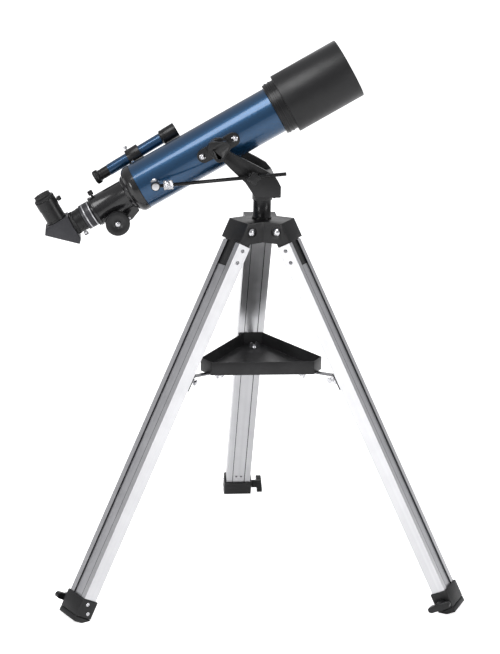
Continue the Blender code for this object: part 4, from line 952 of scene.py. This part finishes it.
# ---- finder ----
# A small telescope: a blue lacquered tube with a black hood in front and a focusing eyepiece behind,
# held in a moulded ring on a stem.
FINDER_SIDE = radians(38)
finder_x = -axis_of("finder_focus")
finder_up = (tube_frame.to_3x3() @ Vector((0, sin(FINDER_SIDE), cos(FINDER_SIDE)))).normalized()
finder_z = (finder_up - finder_x * finder_up.dot(finder_x)).normalized()
finder_at = tube_frame @ Vector((-0.135, 0.0584 * sin(FINDER_SIDE), 0.0584 * cos(FINDER_SIDE)))
finder_place = frame_from(finder_at, finder_x, finder_z) @ ALONG_TUBE
finder_skin = turned("finder_skin", [(-0.051, 0.0088), (-0.051, 0.0097), (-0.0507, 0.0100), (0.0540,
                                                                                             0.0100),
                                     (0.0540, 0.0088)], finder_place, steps=72, bored=True)
dress(finder_skin, "finder_tube_skin", lacquer, "blue_lacquer", "tube", "finder_tube")
finder_hood = turned("finder_hood", [(0.0541, 0.0088), (0.0541, 0.0100), (0.0556, 0.0115), (0.0560, 0.0126),
                                     (0.0565, 0.0130), (0.0605, 0.0130), (0.0608, 0.0126), (0.0620, 0.0126),
                                     (0.0623, 0.0130), (0.0845, 0.0130), (0.085, 0.0127), (0.085, 0.0120),
                                     (0.0670, 0.0118), (0.0650, 0.0088)], finder_place, steps=72,
                     bored=True)
dress(finder_hood, "finder_hood_shape", anodised, "black_plastic", "tube")
finder_lens = turned("finder_lens", [(0.0672, 0.0112), (0.0688, 0.0112), (0.0696, 0.0080), (0.0700,
                                                                                            0.0030)],
                     finder_place, steps=48)
dress(finder_lens, "finder_front_glass", lens_glass, "glass", "tube")
finder_eye = turned("finder_eye", [(-0.0410, 0.0046), (-0.0410, 0.0084), (-0.0513, 0.0084), (-0.0513,
                                                                                             0.0094),
                                   (-0.0640, 0.0094), (-0.0645, 0.0090), (-0.0655, 0.0090),
                                   (-0.0660, 0.0094),
                                   (-0.0690, 0.0094), (-0.0705, 0.0116), (-0.0712, 0.0122),
                                   (-0.0775, 0.0122),
                                   (-0.0792, 0.0112), (-0.0800, 0.0095), (-0.0785, 0.0070),
                                   (-0.0780, 0.0046)],
                    finder_place, steps=72, bored=True)
knurled(finder_eye, (finder_x, finder_at), -0.0776, -0.0712, 0.0118, 0.0004)
dress(finder_eye, "finder_eyepiece_shape", anodised, "black_plastic", "finder_eyepiece", "finder_eyepiece")
dress(refined("finder_bracket", 0.0004), "finder_bracket_shape", knob_plastic, "black_plastic", "tube",
      "finder_bracket")
BRACKET_R = 0.0142
for number, turn in enumerate((-150, -30)):
    away = finder_place.to_3x3() @ Vector((cos(radians(turn)), sin(radians(turn)), 0))
    at = finder_at - finder_x * 0.007
    adjuster = turned("adjuster", [(BRACKET_R - 0.001, 0.0016), (BRACKET_R + 0.0020, 0.0016),
                                   (BRACKET_R + 0.0021, 0.0030), (BRACKET_R + 0.0026, 0.0034),
                                   (BRACKET_R + 0.0060, 0.0034), (BRACKET_R + 0.0064, 0.0028)],
                      facing(at, away), steps=24)
    dress(adjuster, f"finder_adjuster_{number}", chrome, "chrome", "tube")
